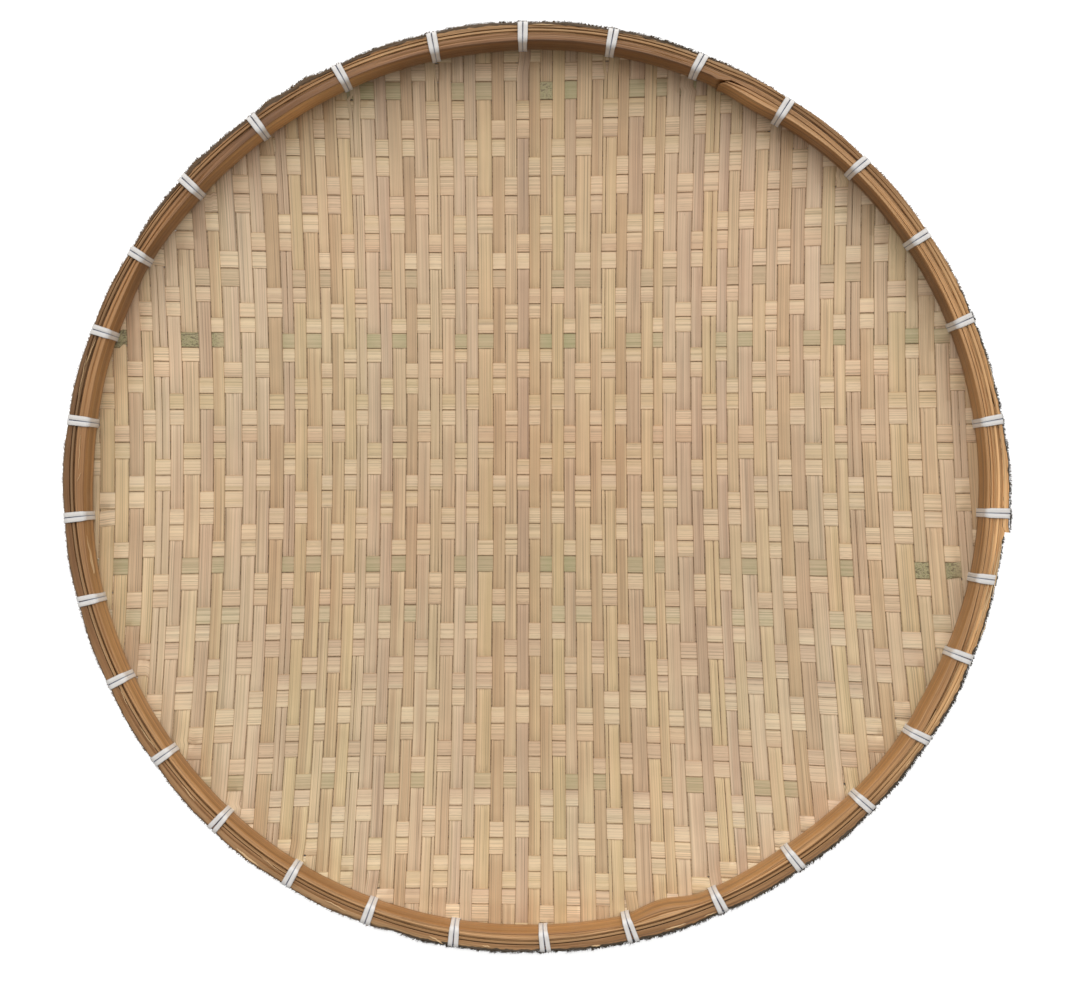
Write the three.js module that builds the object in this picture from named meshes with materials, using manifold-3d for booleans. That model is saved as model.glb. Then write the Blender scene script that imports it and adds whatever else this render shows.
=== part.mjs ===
// Round woven bamboo tray with a rim of two lapped hoops held by strap ties.
// Millimetres, +Z up. The tray stands on z = 0, centred on the Z axis, with its far side towards +Y.
import * as THREE from "three";
import { mergeGeometries, mergeVertices } from "three/addons/utils/BufferGeometryUtils.js";
import Module from "manifold-3d";

const wasm = await Module();
wasm.setup();

// Outside of the rim: the hoops were bent by hand and are a little wider than deep
const trayWidth = 594;
const trayDepth = 586;
const rimTop = 27.5;

// Layers of the rim, from the outside in, each measured across the rim
const outerHoopThickness = 3.8;
const fillerThickness = 1.3;
const marginThickness = 1.1;
const innerHoopThickness = 6.7;
const clearance = 0.3;

// Hoop section: flat towards the mat, round on the other face, with eased edges
const hoopBulge = 1.4;
const hoopEdge = 1.2;
const outerHoopBow = 0.8;

// Swelling of the inner hoop where the cane had a joint
const swellAngle = -73.5;
const swellReach = 5.5;
const swellHeight = 3;

// Where the whole rim stands out, as it was bent by hand
const standOutAngle = -120;
const standOutReach = 38;
const standOutHeight = 2.2;

// How far the layers between the hoops stay below the rim's top
const fillerDrop = 0.8;
const marginDrop = 2.2;

// Laps of the hoops. Angles are in degrees, anticlockwise from +X. The inner hoop is skived to a
// long thin end, which covers its other end and lies proud of it at the tip.
const innerTipAngle = 65.7;
const innerLap = 95;
const innerSkive = 18;
const innerTipRise = 16;
const innerCoverThickness = 2.4;
const outerTipAngle = -5.6;
const outerLap = 16;
const outerTipThickness = 3.8;
const coveredTipThickness = 1.2;
const lapEase = 6;
const fillerJointAngle = -118;
const fillerJointGap = 1;

// Mat: the strips front to back float over five rows and dive under two
const columnPitch = 8.4;
const rowPitch = 10.8;
const overRows = 5;
const underRows = 2;
const rowStep = 3;
const columnStart = 4.5;
const rowStart = -3.06;
const coreThickness = 1;
const floatHeight = 0.7;
const undersideHeight = 0.4;
const stripGap = 0.45;
const floatSlope = 1.6;

// Ties: flat strap wound twice round the rim and through the mat
const strapWidth = 3.1;
const strapThickness = 0.7;
const strapGap = 0.3;
const tieClearance = 0.4;
const strapStart = 3;
const strapTuck = 0.6;

// Ties in stretches, clockwise from the first one past the lap of the outer hoop:
// how many spacings each stretch has, and the spacing in degrees
const firstTieAngle = -11.7;
const tieStretches = [
  [1, 10.2],
  [4, 11.13],
  [3, 11.27],
  [7, 10.85],
  [2, 11.88],
  [3, 11],
  [2, 12.1],
  [3, 11.25],
  [4, 11.88],
  [1, 13.2],
  [1, 11.7],
];

// Levels, from the floor up
const matUnderside = strapThickness + tieClearance;
const coreBottom = matUnderside + undersideHeight;
const coreTop = coreBottom + coreThickness;
const matTop = coreTop + floatHeight;
const innerHoopBottom = coreTop + clearance;

// Mean radii of the layers, from the outside in
const outerHoopOuter = (trayWidth + trayDepth) / 4;
const outerHoopInner = outerHoopOuter - outerHoopThickness;
const fillerOuter = outerHoopInner - clearance;
const fillerInner = fillerOuter - fillerThickness;
const marginOuter = fillerInner - clearance;
const marginInner = marginOuter - marginThickness;
const innerHoopOuter = marginInner - clearance;
const ovality = (trayWidth - trayDepth) / 4;

// Half the angle that a tie covers
const strapSpan = THREE.MathUtils.radToDeg((strapWidth + strapGap / 2) / innerHoopOuter);

// Angles closer than this are one place, and corners closer than this are one point
const sameAngle = 0.01;
const samePoint = 1e-5;

const fullTurn = 360;
const radians = THREE.MathUtils.degToRad;

function wrapDegrees(angle) {
  return ((angle % fullTurn) + fullTurn) % fullTurn;
}

// A rise of a height round an angle, like one wave, which ends at its reach on both sides
function humpAt(angle, middle, reach, height) {
  const away = Math.abs(wrapDegrees(angle - middle + fullTurn / 2) - fullTurn / 2);
  return away < reach ? (height * (1 + Math.cos((Math.PI * away) / reach))) / 2 : 0;
}

function standOutAt(angle) {
  return humpAt(angle, standOutAngle, standOutReach, standOutHeight);
}

// A point of the rim, at its radius on a round tray, drawn out sideways by the ovality
function rimPoint(radius, angle, z) {
  const turned = radians(angle);
  const bent = radius + standOutAt(angle);
  return new THREE.Vector3(
    (bent + ovality) * Math.cos(turned),
    (bent - ovality) * Math.sin(turned),
    z,
  );
}

// Half the depth of an oval at a distance from the middle
function halfChord(radius, along, acrossOvality) {
  const share = along / (radius + acrossOvality);
  return share < 1 ? (radius - acrossOvality) * Math.sqrt(1 - share * share) : 0;
}

// Joins a row of sections, each a convex loop of points, into one closed body
function loft(sections, closed) {
  const sides = sections[0].length;
  const spans = closed ? sections.length : sections.length - 1;
  const index = [];
  for (let span = 0; span < spans; span += 1) {
    const here = span * sides;
    const next = ((span + 1) % sections.length) * sides;
    for (let side = 0; side < sides; side += 1) {
      const turned = (side + 1) % sides;
      index.push(here + side, next + side, next + turned);
      index.push(here + side, next + turned, here + turned);
    }
  }
  if (!closed) {
    const last = spans * sides;
    for (let side = 1; side < sides - 1; side += 1) {
      index.push(0, side, side + 1);
      index.push(last, last + side + 1, last + side);
    }
  }
  const points = sections.flat();
  if (signedVolume(points, index) < 0) {
    index.reverse();
  }
  const geometry = new THREE.BufferGeometry().setFromPoints(points);
  geometry.setIndex(index);
  geometry.computeVertexNormals();
  return geometry;
}

function signedVolume(points, index) {
  let volume = 0;
  for (let corner = 0; corner < index.length; corner += 3) {
    const [a, b, c] = [points[index[corner]], points[index[corner + 1]], points[index[corner + 2]]];
    volume += a.dot(new THREE.Vector3().crossVectors(b, c));
  }
  return volume;
}

// Tie angles, clockwise round the rim
const tieAngles = [firstTieAngle];
for (const [count, spacing] of tieStretches) {
  for (let step = 0; step < count; step += 1) {
    tieAngles.push(tieAngles.at(-1) - spacing);
  }
}

// Angles at which every layer of the rim has a section: at each tie, halfway to the next one,
// over the swelling, and where the laps begin and end. Layers that share them keep their
// clearance all round.
const stations = [];

function addStation(angle) {
  const turned = wrapDegrees(angle);
  if (!stations.some((other) => Math.abs(other - turned) < sameAngle)) {
    stations.push(turned);
  }
}

tieAngles.forEach((angle, tie) => {
  const next = tie + 1 < tieAngles.length ? tieAngles[tie + 1] : firstTieAngle - fullTurn;
  addStation(angle);
  addStation((angle + next) / 2);
});
for (const along of [0, innerTipRise, innerLap - innerSkive, innerLap, innerLap + lapEase]) {
  addStation(innerTipAngle - along);
}
for (const along of [-swellReach / 2, 0, swellReach / 2]) {
  addStation(swellAngle + along);
}
for (const along of [0, outerLap, outerLap + lapEase]) {
  addStation(outerTipAngle + along);
}
stations.sort((a, b) => a - b);

// How far an angle lies between ties, from 0 at a tie to 1 halfway to the next
function betweenTies(angle) {
  const gaps = tieAngles.map((tie) => wrapDegrees(angle - tie));
  const before = Math.min(...gaps);
  const after = fullTurn - Math.max(...gaps);
  return Math.sin((Math.PI * before) / (before + after));
}

// How much thicker the inner hoop is at its swelling
function swellAt(angle) {
  return humpAt(angle, swellAngle, swellReach, swellHeight);
}

// A hoop is one strip bent round until its ends lap. It builds up from its flat face, outwards
// where side is 1 and inwards where it is -1, and its covering end lies over its covered one.
// Places on it are degrees along the strip, from the covered end to the covering tip. In the lap,
// coveredAt and coveringAt give the thickness of the two ends.
function bentHoop({ face, side, thickness, tip, run, lap, coveredAt, coveringAt, proudAt, bottom, top }) {
  const length = fullTurn + lap;
  const middle = (bottom + top) / 2;

  const angleAt = (along) => tip + run * (length - along);
  const alongAt = (angle) => length - wrapDegrees(run * (angle - tip));

  function thicknessAt(along) {
    if (along > fullTurn) {
      return coveringAt(along - fullTurn);
    }
    return along < lap ? coveredAt(along) : thickness;
  }

  function liftAt(along) {
    if (along > fullTurn) {
      return coveredAt(along - fullTurn) + clearance;
    }
    const climb = THREE.MathUtils.smoothstep(along, fullTurn - lapEase, fullTurn);
    return (coveredAt(0) + clearance) * climb;
  }

  // Radius of the flat face, of the round face at its middle, and how far that face falls away
  function layersAt(along) {
    const full = thicknessAt(along);
    const flat = face + side * liftAt(along);
    const round = flat + side * (full + proudAt(angleAt(along)));
    return { flat, round, fall: (hoopBulge * full) / thickness, edge: (hoopEdge * full) / thickness };
  }

  function sectionAt(along) {
    const { flat, round, fall, edge } = layersAt(along);
    const foot = fall * (middle - bottom) / (top - hoopEdge - middle);
    const corners = [
      [flat, bottom],
      [flat, top],
      [round - side * (fall + edge), top],
      [round - side * fall, top - hoopEdge],
      [round, middle],
      [round - side * foot, bottom],
    ];
    return corners.map(([radius, z]) => rimPoint(radius, angleAt(along), z));
  }

  const places = [];
  for (const angle of stations) {
    const along = alongAt(angle);
    places.push(along);
    if (along > fullTurn - sameAngle) {
      places.push(Math.max(along - fullTurn, 0));
    }
  }
  places.sort((a, b) => a - b);

  // The round face as a tie meets it: its radius at a level, with the least fall across the strap
  function faceAt(angle, halfSpan) {
    const seen = [-halfSpan, 0, halfSpan].map((offset) => layersAt(alongAt(angle + offset)));
    const round = side * Math.max(...seen.map((layer) => side * layer.round));
    const fall = Math.min(...seen.map((layer) => layer.fall));
    const steepness = fall / ((top - bottom) / 2 - hoopEdge);
    return {
      middle,
      slant: steepness,
      at: (z) => round - side * steepness * Math.abs(z - middle),
    };
  }

  return { geometry: loft(places.map(sectionAt), false), faceAt };
}

// The covered end of the inner hoop soon leaves only the cover's thickness free, and fills that
// too by the tip
function innerCoveredAt(along) {
  const free = innerHoopThickness - innerCoverThickness - coveredTipThickness;
  const rise = THREE.MathUtils.smoothstep(along, 0, innerSkive);
  const fill = THREE.MathUtils.smoothstep(along, innerLap - innerTipRise, innerLap);
  return coveredTipThickness + free * rise + innerCoverThickness * fill;
}

function innerCoveringAt(along) {
  const skived = THREE.MathUtils.smoothstep(along, 0, innerSkive);
  return THREE.MathUtils.lerp(innerHoopThickness, innerCoverThickness, skived);
}

const innerHoop = bentHoop({
  face: innerHoopOuter,
  side: -1,
  thickness: innerHoopThickness,
  tip: innerTipAngle,
  run: -1,
  lap: innerLap,
  coveredAt: innerCoveredAt,
  coveringAt: innerCoveringAt,
  proudAt: swellAt,
  bottom: innerHoopBottom,
  top: rimTop,
});

const outerHoop = bentHoop({
  face: outerHoopInner,
  side: 1,
  thickness: outerHoopThickness,
  tip: outerTipAngle,
  run: 1,
  lap: outerLap,
  coveredAt: (along) => THREE.MathUtils.lerp(coveredTipThickness, outerHoopThickness, along / outerLap),
  coveringAt: (along) => THREE.MathUtils.lerp(outerHoopThickness, outerTipThickness, along / outerLap),
  proudAt: (angle) => outerHoopBow * betweenTies(angle),
  bottom: matUnderside,
  top: rimTop,
});

// Flat layers of the rim between the hoops

function flatSection(inner, outer, bottom, top, angle) {
  const corners = [[inner, bottom], [outer, bottom], [outer, top], [inner, top]];
  return corners.map(([radius, z]) => rimPoint(radius, angle, z));
}

function makeMargin() {
  const top = rimTop - marginDrop;
  const sections = stations.map((angle) => (
    flatSection(marginInner, marginOuter, innerHoopBottom, top, angle)
  ));
  return loft(sections, true);
}

// The filler is a thin strip whose ends butt, with a gap between them
function makeFiller() {
  const half = THREE.MathUtils.radToDeg(fillerJointGap / 2 / fillerInner);
  const inside = (along) => along > half + sameAngle && along < fullTurn - half - sameAngle;
  const places = stations.map((angle) => wrapDegrees(angle - fillerJointAngle)).filter(inside);
  places.push(half, fullTurn - half);
  places.sort((a, b) => a - b);
  const top = rimTop - fillerDrop;
  const sections = places.map((along) => (
    flatSection(fillerInner, fillerOuter, matUnderside, top, fillerJointAngle + along)
  ));
  return loft(sections, false);
}

// Solids for cutting and joining

function toSolid(geometry) {
  const bare = new THREE.BufferGeometry();
  bare.setAttribute("position", geometry.getAttribute("position"));
  bare.setIndex(geometry.getIndex());
  const merged = mergeVertices(bare, samePoint);
  return new wasm.Manifold(new wasm.Mesh({
    numProp: 3,
    vertProperties: new Float32Array(merged.getAttribute("position").array),
    triVerts: new Uint32Array(merged.getIndex().array),
  }));
}

function fromSolid(solid) {
  const { vertProperties, triVerts } = solid.getMesh();
  const geometry = new THREE.BufferGeometry();
  geometry.setAttribute("position", new THREE.BufferAttribute(vertProperties, 3));
  geometry.setIndex(new THREE.BufferAttribute(triVerts, 1));
  geometry.computeVertexNormals();
  return geometry;
}

// Woven floor

const hoopInner = innerHoopOuter - innerHoopThickness;
const footMargin = tieClearance + strapThickness + 2 * clearance;
const undersideReach = hoopInner - innerCoverThickness - clearance - footMargin;
const rooting = coreThickness / 4;

// How far the floats may reach, front or far, at a distance sideways: short of the hoop and its slits
function floatLimit(sideways, direction) {
  const rough = halfChord(hoopInner, Math.abs(sideways), ovality);
  const angle = THREE.MathUtils.radToDeg(Math.atan2(direction * rough, sideways));
  const foot = innerHoop.faceAt(angle, 2 * strapSpan).at(matTop) + standOutAt(angle);
  return direction * halfChord(foot - footMargin, Math.abs(sideways), ovality);
}

// One float, from its outline at the root to a shorter one on top. Its ends slope down to where
// the strip dives under its neighbours, or follow the foot of the rim.
function makeFloat(left, right, far, front) {
  const level = (side, inset, z) => {
    const farEnd = Math.min(far - inset, floatLimit(side, 1));
    const frontEnd = Math.max(front + inset, floatLimit(side, -1));
    return [new THREE.Vector3(side, frontEnd, z), new THREE.Vector3(side, farEnd, z)];
  };
  const outline = (inset, z) => [...level(left, inset, z), ...level(right, inset, z).reverse()];
  const levels = [outline(0, coreTop - rooting), outline(0, coreTop), outline(floatSlope, matTop)];
  return loft(levels, false);
}

// The strips front to back, each shown by its floats. The pattern steps rowStep rows per column.
function makeFloats() {
  const period = overRows + underRows;
  const halfColumns = Math.ceil(hoopInner / columnPitch) + 1;
  const halfRows = Math.ceil(hoopInner / rowPitch) + period;
  const floats = [];
  for (let column = -halfColumns; column <= halfColumns; column += 1) {
    const left = columnStart + column * columnPitch + stripGap / 2;
    const right = left + columnPitch - stripGap;
    const outer = Math.abs(left) > Math.abs(right) ? left : right;
    const phase = ((rowStep * column - 1) % period + period) % period;
    for (let row = phase - period * Math.ceil(halfRows / period); row < halfRows; row += period) {
      const far = rowStart - row * rowPitch - stripGap / 2;
      const front = far - overRows * rowPitch + stripGap;
      const shown = Math.min(far, floatLimit(outer, 1)) - Math.max(front, floatLimit(outer, -1));
      if (shown > 2 * floatSlope + stripGap) {
        floats.push(makeFloat(left, right, far, front));
      }
    }
  }
  return floats;
}

// The strips left to right, as they show on the underside inside the ties
function makeUndersideStrips() {
  const strips = [];
  const halfRows = Math.ceil(undersideReach / rowPitch) + 1;
  for (let row = -halfRows; row <= halfRows; row += 1) {
    const far = rowStart - row * rowPitch;
    const widest = Math.max(Math.abs(far), Math.abs(far - rowPitch));
    const halfLength = halfChord(undersideReach, widest, -ovality);
    if (halfLength > rowPitch) {
      const height = undersideHeight + rooting;
      const strip = new THREE.BoxGeometry(2 * halfLength, rowPitch - stripGap, height);
      strip.translate(0, far - rowPitch / 2, matUnderside + height / 2);
      strips.push(strip);
    }
  }
  return strips;
}

// Slit in the mat that one tie dives through, at the foot of the inner hoop
function makeSlit(angle) {
  const face = innerHoop.faceAt(angle, strapSpan);
  const level = (matUnderside + matTop) / 2;
  const radius = face.at(level) - tieClearance - strapThickness / 2;
  const deep = strapThickness + 2 * clearance + face.slant * (matTop - matUnderside);
  const wide = 2 * strapWidth + strapGap + 2 * clearance;
  const slit = new THREE.BoxGeometry(deep, wide, 2 * (matTop - matUnderside));
  slit.rotateZ(radians(angle));
  const place = rimPoint(radius, angle, level);
  slit.translate(place.x, place.y, place.z);
  return slit;
}

function makeWovenFloor() {
  const outline = new THREE.Shape(stations.map((angle) => {
    const { x, y } = rimPoint(marginOuter, angle, 0);
    return new THREE.Vector2(x, y);
  }));
  const core = new THREE.ExtrudeGeometry(outline, { depth: coreThickness, bevelEnabled: false });
  core.translate(0, 0, coreBottom);
  const floor = toSolid(core)
    .add(toSolid(mergeGeometries(makeFloats())))
    .add(toSolid(mergeGeometries(makeUndersideStrips())))
    .subtract(toSolid(mergeGeometries(tieAngles.map(makeSlit))));
  return fromSolid(floor);
}

// Ties

// Outline that the strap goes round, as radius and level, from the inner foot by way of the outer
// one. Each corner also has its mitre, the way out from it for one unit of clearance.
function strapOutline(angle) {
  const inner = innerHoop.faceAt(angle, strapSpan);
  const outer = outerHoop.faceAt(angle, strapSpan);
  const corners = [
    new THREE.Vector2(inner.at(matUnderside), matUnderside),
    new THREE.Vector2(outer.at(matUnderside), matUnderside),
    new THREE.Vector2(outer.at(outer.middle), outer.middle),
    new THREE.Vector2(outer.at(rimTop), rimTop),
    new THREE.Vector2(inner.at(rimTop), rimTop),
    new THREE.Vector2(inner.at(inner.middle), inner.middle),
  ];
  const outward = corners.map((corner, at) => {
    const along = corners[(at + 1) % corners.length].clone().sub(corner).normalize();
    return new THREE.Vector2(along.y, -along.x);
  });
  return corners.map((corner, at) => {
    const before = outward[(at + corners.length - 1) % corners.length];
    const after = outward[at];
    const mitre = before.clone().add(after).divideScalar(1 + before.dot(after));
    return { corner, mitre, after };
  });
}

// A place on a straight run of the outline, square to it
function alongRun(from, to, distance) {
  const step = to.corner.clone().sub(from.corner).setLength(distance);
  return { corner: from.corner.clone().add(step), mitre: from.after };
}

function makeTie(angle) {
  const [innerFoot, outerFoot, outerMiddle, outerTop, innerTop, innerMiddle] = strapOutline(angle);
  const overTheRim = [outerMiddle, outerTop, innerTop, innerMiddle, innerFoot];
  const turnOffset = (strapWidth + strapGap) / 2;
  const route = [
    [alongRun(outerFoot, outerMiddle, strapStart), -turnOffset],
    ...overTheRim.map((place) => [place, -turnOffset]),
    [outerFoot, turnOffset],
    ...overTheRim.map((place) => [place, turnOffset]),
    [alongRun(innerFoot, outerFoot, strapTuck), turnOffset],
  ];
  const sections = route.map(([{ corner, mitre }, offset]) => {
    const near = corner.clone().addScaledVector(mitre, tieClearance);
    const far = corner.clone().addScaledVector(mitre, tieClearance + strapThickness);
    const left = offset - strapWidth / 2;
    const right = offset + strapWidth / 2;
    return [
      new THREE.Vector3(near.x - innerHoopOuter, left, near.y),
      new THREE.Vector3(far.x - innerHoopOuter, left, far.y),
      new THREE.Vector3(far.x - innerHoopOuter, right, far.y),
      new THREE.Vector3(near.x - innerHoopOuter, right, near.y),
    ];
  });
  return loft(sections, false);
}

// Finishes

function bamboo(color, roughness) {
  return new THREE.MeshStandardMaterial({ color, roughness, metalness: 0 });
}

function strapFinish() {
  return new THREE.MeshStandardMaterial({ color: 0xdcdce4, roughness: 0.45, metalness: 0 });
}

// Assembly

const tray = new THREE.Group();

function addPiece(name, geometry, material) {
  const piece = new THREE.Mesh(geometry, material);
  piece.name = name;
  tray.add(piece);
  return piece;
}

addPiece("woven_floor", makeWovenFloor(), bamboo(0xc8aa80, 0.6));
addPiece("mat_margin", makeMargin(), bamboo(0xa8845a, 0.7));
addPiece("inner_hoop", innerHoop.geometry, bamboo(0xa87446, 0.55));
addPiece("filler_strip", makeFiller(), bamboo(0xc09464, 0.6));
addPiece("outer_hoop", outerHoop.geometry, bamboo(0x8e6238, 0.65));

tieAngles.forEach((angle, tie) => {
  const name = `tie_${String(tie + 1).padStart(2, "0")}`;
  const strap = addPiece(name, makeTie(angle), strapFinish());
  strap.position.copy(rimPoint(innerHoopOuter, angle, 0));
  strap.rotation.z = radians(angle);
});

// The origin lies at the middle of the tray's outside, its lap and ties included
const middle = new THREE.Box3().setFromObject(tray, true).getCenter(new THREE.Vector3());
tray.position.set(-middle.x, -middle.y, 0);

export default tray;
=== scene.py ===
import math
import random

import bmesh
import bpy
import numpy as np
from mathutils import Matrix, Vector


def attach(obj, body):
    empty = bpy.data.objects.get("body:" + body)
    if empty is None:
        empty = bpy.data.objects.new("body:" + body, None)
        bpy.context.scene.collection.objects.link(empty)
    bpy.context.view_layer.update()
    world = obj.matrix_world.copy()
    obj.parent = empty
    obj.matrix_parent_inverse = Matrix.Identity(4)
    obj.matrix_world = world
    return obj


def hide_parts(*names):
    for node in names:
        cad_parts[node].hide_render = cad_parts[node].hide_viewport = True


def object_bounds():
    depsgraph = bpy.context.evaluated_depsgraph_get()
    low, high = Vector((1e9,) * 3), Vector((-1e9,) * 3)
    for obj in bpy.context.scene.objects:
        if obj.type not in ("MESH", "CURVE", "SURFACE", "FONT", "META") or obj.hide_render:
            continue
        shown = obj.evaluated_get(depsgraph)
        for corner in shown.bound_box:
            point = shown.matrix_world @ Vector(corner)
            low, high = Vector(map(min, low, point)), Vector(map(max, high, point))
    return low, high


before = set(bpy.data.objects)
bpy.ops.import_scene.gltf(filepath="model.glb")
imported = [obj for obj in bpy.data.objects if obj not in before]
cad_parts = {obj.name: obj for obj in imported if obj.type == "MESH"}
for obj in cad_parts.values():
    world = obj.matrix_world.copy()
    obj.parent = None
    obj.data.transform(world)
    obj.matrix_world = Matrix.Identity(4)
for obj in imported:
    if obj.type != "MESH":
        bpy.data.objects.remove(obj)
solids_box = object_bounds()

# Sizes are in millimetres and angles in degrees, anticlockwise from +X, until they are placed
MM = 0.001
X, Y, Z = range(3)

# Points this near to a place are taken as on it
nearby = 0.01

# Middle of the ring that the rim makes. The ties and the lap put the tray's own middle beside it
ring_centre = (-2.003, 0.106)

# Rim: mean radii of its layers, and how much wider than deep it is
ovality = 2.0
outer_hoop_inner = 291.2
filler_inner = 289.1
filler_thickness = 2.0
margin_inner = 288.0
margin_thickness = 1.0
inner_hoop_outer = 287.9
clearance = 0.3

# Where the whole rim stands out: its middle, reach and height
stand_out = (-120, 38, 2.2)

# Levels
mat_underside = 1.1
rim_bottom = 2.8
rim_top = 27.5
filler_top = 27.4

# The ends of the filler and of the margin meet under ties, after almost one turn
filler_start = -121.93
margin_start = 45.35
flat_turn = 359.95

# Bent split cane is uneven: middle angle, reach and height of each swelling, thin place or notch
inner_swellings = [(-73.5, 5.5, 4.3), (-53, 14, 1.2), (149, 9, -1.3), (177, 17, 1.8), (98, 14, 0.5)]
outer_swellings = [
    (60, 26, -1.3), (98, 9, 0.5), (119, 2.3, 1.3), (124.2, 2.2, 1.4), (136.2, 2.4, 1.5), (153, 16, -0.9),
    (228, 10, 0.6), (253, 3.2, -1.5), (285, 9, 0.5), (333, 9, 0.6),
]
tip_lump = (60.8, 5.6, 0.8)

# Laps: how thick the covered end is at its tip and further on, and the end that lies over it, and
# the degrees over which they thin, and over which a hoop climbs on to its covered end
covered_tip = 0.6
covered_full = 2.7
cover_thickness = 2.6
cover_skive = 18.0
lap_ease = 3.0

# Both covered ends come back to the full thickness in a slanted notch, which ends a little past the
# other end's tip. The outer hoop's covered end is cut down this far
notch_slant = 0.8
outer_covered_floor = 2.0

# Tip of the inner hoop's lap: degrees over which it rises, slants and tapers, its end and its level
tip_rise = 20.0
tip_slant = 3.0
tip_taper = 7.0
tip_end_share = 0.1
tip_level = 26.3

# How far a round face falls back at its edges, and how far the outer one bows out between ties
hoop_bulge = 1.4
outer_hoop_bow = 0.8

# The hoops: the face that they are bent to, the side that their thickness lies on, the angle of the
# covering tip and the way that they run to it, their lap and levels, and how their cane is worked
inner_hoop = {
    "face": inner_hoop_outer, "side": -1, "thickness": 6.7, "tip": 65.7, "run": -1,
    "lap": 95.0, "past_tip": 0.02, "bottom": rim_bottom, "top": rim_top,
    "cuts": (22, 22), "rounding": 3.4, "rounding_steps": 5, "split_fibre": 4, "seed": 3,
}
outer_hoop = {
    "face": outer_hoop_inner, "side": 1, "thickness": 3.8, "tip": -5.6, "run": 1,
    "lap": 16.0, "past_tip": 0.1, "bottom": mat_underside, "top": rim_top,
    "cuts": (22, 22, 2), "rounding": 1.4, "rounding_steps": 3, "split_fibre": 3, "seed": 4,
}

# The thin strips between the hoops: their cuts, and how much of their thickness is bevelled
flat_cuts = (22, 22)
flat_edge_share = 0.2

# Cane of both hoops: cuts down its faces, how its other edges are rounded, and from which share of
# its height, over which, it counts as top
face_cuts = 5
upper_back_rounding = 0.25
lower_rounding = 1.0
lower_back_rounding = 0.4
top_starts = 0.86
top_ease = 0.1

# Fibres across the top of a hoop, how far on each next one's wave starts, and its splits
fibres = 9
fibre_shift = 41
split_depth = 0.8
split_opening = 0.3

# Ties, clockwise: how many spacings each stretch has, and the spacing
first_tie = -11.7
tie_stretches = [
    (1, 10.2), (4, 11.13), (3, 11.27), (7, 10.85), (2, 11.88), (3, 11), (2, 12.1), (3, 11.25),
    (4, 11.88), (1, 13.2), (1, 11.7),
]
strap_width = 3.1
strap_thickness = 0.7
strap_gap = 0.3
strap_foot_share = 0.88
tie_clearance = 0.35
strap_start = 3.0
strap_tuck = 0.6
strap_bend = 3.2
strap_bend_share = 0.45
strap_rounding = 0.33
strap_length = 190
strap_cuts = (13, 13)
strap_end_lift = 0.1
strap_edge_margin = 1.2

# A strap shifts over at this share of its length, over this much of its underside either way. Its
# turns lie closer together inside, where it is narrower up to this share of the way across the rim
strap_crossing = 0.503
strap_crossing_ease = 9.0
strap_inner_gap_share = 0.1
strap_foot_reach = 0.25
strap_spread = 0.25

# Weave: over five rows and under two, three rows further on each column
over_rows = 5
period = 7
row_step = 3
column_step = pow(row_step, -1, period)
column_overs = [(0, over_rows)]
row_overs = [(0, 1), (2, 3)]

# Columns and rows are numbered this far to either side of the middle, before the rim cuts them
mat_half = 40
row_half = 32
column_pitch = 7.95
column_unevenness = 1.15
column_gap = 0.4

# Where some columns lie along X and some rows along Y, counted from the middle
column_places = [
    (-40, -337.3), (-34, -280.0), (-27, -217.0), (-24, -190.3), (-21, -162.8), (-18, -138.1), (-12, -92.6),
    (-6, -45.2), (0, 2.1), (3, 25.1), (9, 73.3), (15, 121.5), (18, 145.6), (21, 171.1), (27, 225.6),
    (34, 293.3), (40, 355.6),
]
row_places = [
    (-31, 345.0), (-25, 272.0), (-20, 211.4), (-16, 161.9), (-13, 127.6), (-12, 117.4), (-8, 79.7),
    (-4, 39.4), (0, -2.4), (4, -43.4), (8, -86.5), (12, -129.8), (16, -172.7), (20, -214.3),
    (26, -278.5), (32, -342.0),
]

row_pitch = 10.8
row_unevenness = 0.45
row_gap = 0.34

# Columns made of two strips, and where across the column they part
split_columns = {-30: 0.45, -21: 0.5, -15: 0.3, -9: 0.74, 5: 0.22, 13: 0.6, 24: 0.35, 31: 0.5}
split_gap = 0.03

# A tie's foot pushes the strips beside it apart
slit_push = 1.5
slit_reach = 4.2
slit_length = 13.0
slit_inset = 2.0
slit_outreach = 12.0

# The strips stand closest at a waist and fan out from it
column_fan = 2.19e-6
waist_middle = 62.0
waist_slope = 0.2
row_fan = 1.22e-6
row_fan_start = 30.0
row_fan_side = -60.0

# Strips of the mat
strip_thickness = 0.55
strip_rise = 0.5
strip_crown = 0.08
strip_edge = 0.13
strip_reach = 288.6
mat_middle = 2.3

# The mat is pressed flatter under the inner hoop, from this share of the strips' reach outwards
pressed_middle = 2.1
pressed_share = 0.6
press_start = 0.925
press_ease = 0.035

# A strip dives over this share of a pitch to either side of a crossing's edge
dive_ease = 0.42
steps_per_pitch = 4

# Steps in a pitch of the line that finds a strip's ends, and the fewest pitches that make a strip
line_steps = 20
fewest_pitches = 3

# How far on in the grain each next strip starts, in metres
grain_step = (0.37, 0.011, 0)
strap_grain_step = (0.21, 0, 0)

# Rows with the green skin side up, from the far side: how strong the green is, and from where to
# where along X the skin is speckled
skin_rows = {
    -24: (0.8, -4, 12), -14: (0.34, 0, 0), -10: (0.78, -280, -200), 4: (0.7, 232, 275),
    7: (0.38, 0, 0), 17: (0.55, 0, 0),
}
skin_level = 0.75
speckle_ease = 12
speckle_strength = 0.9

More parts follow.
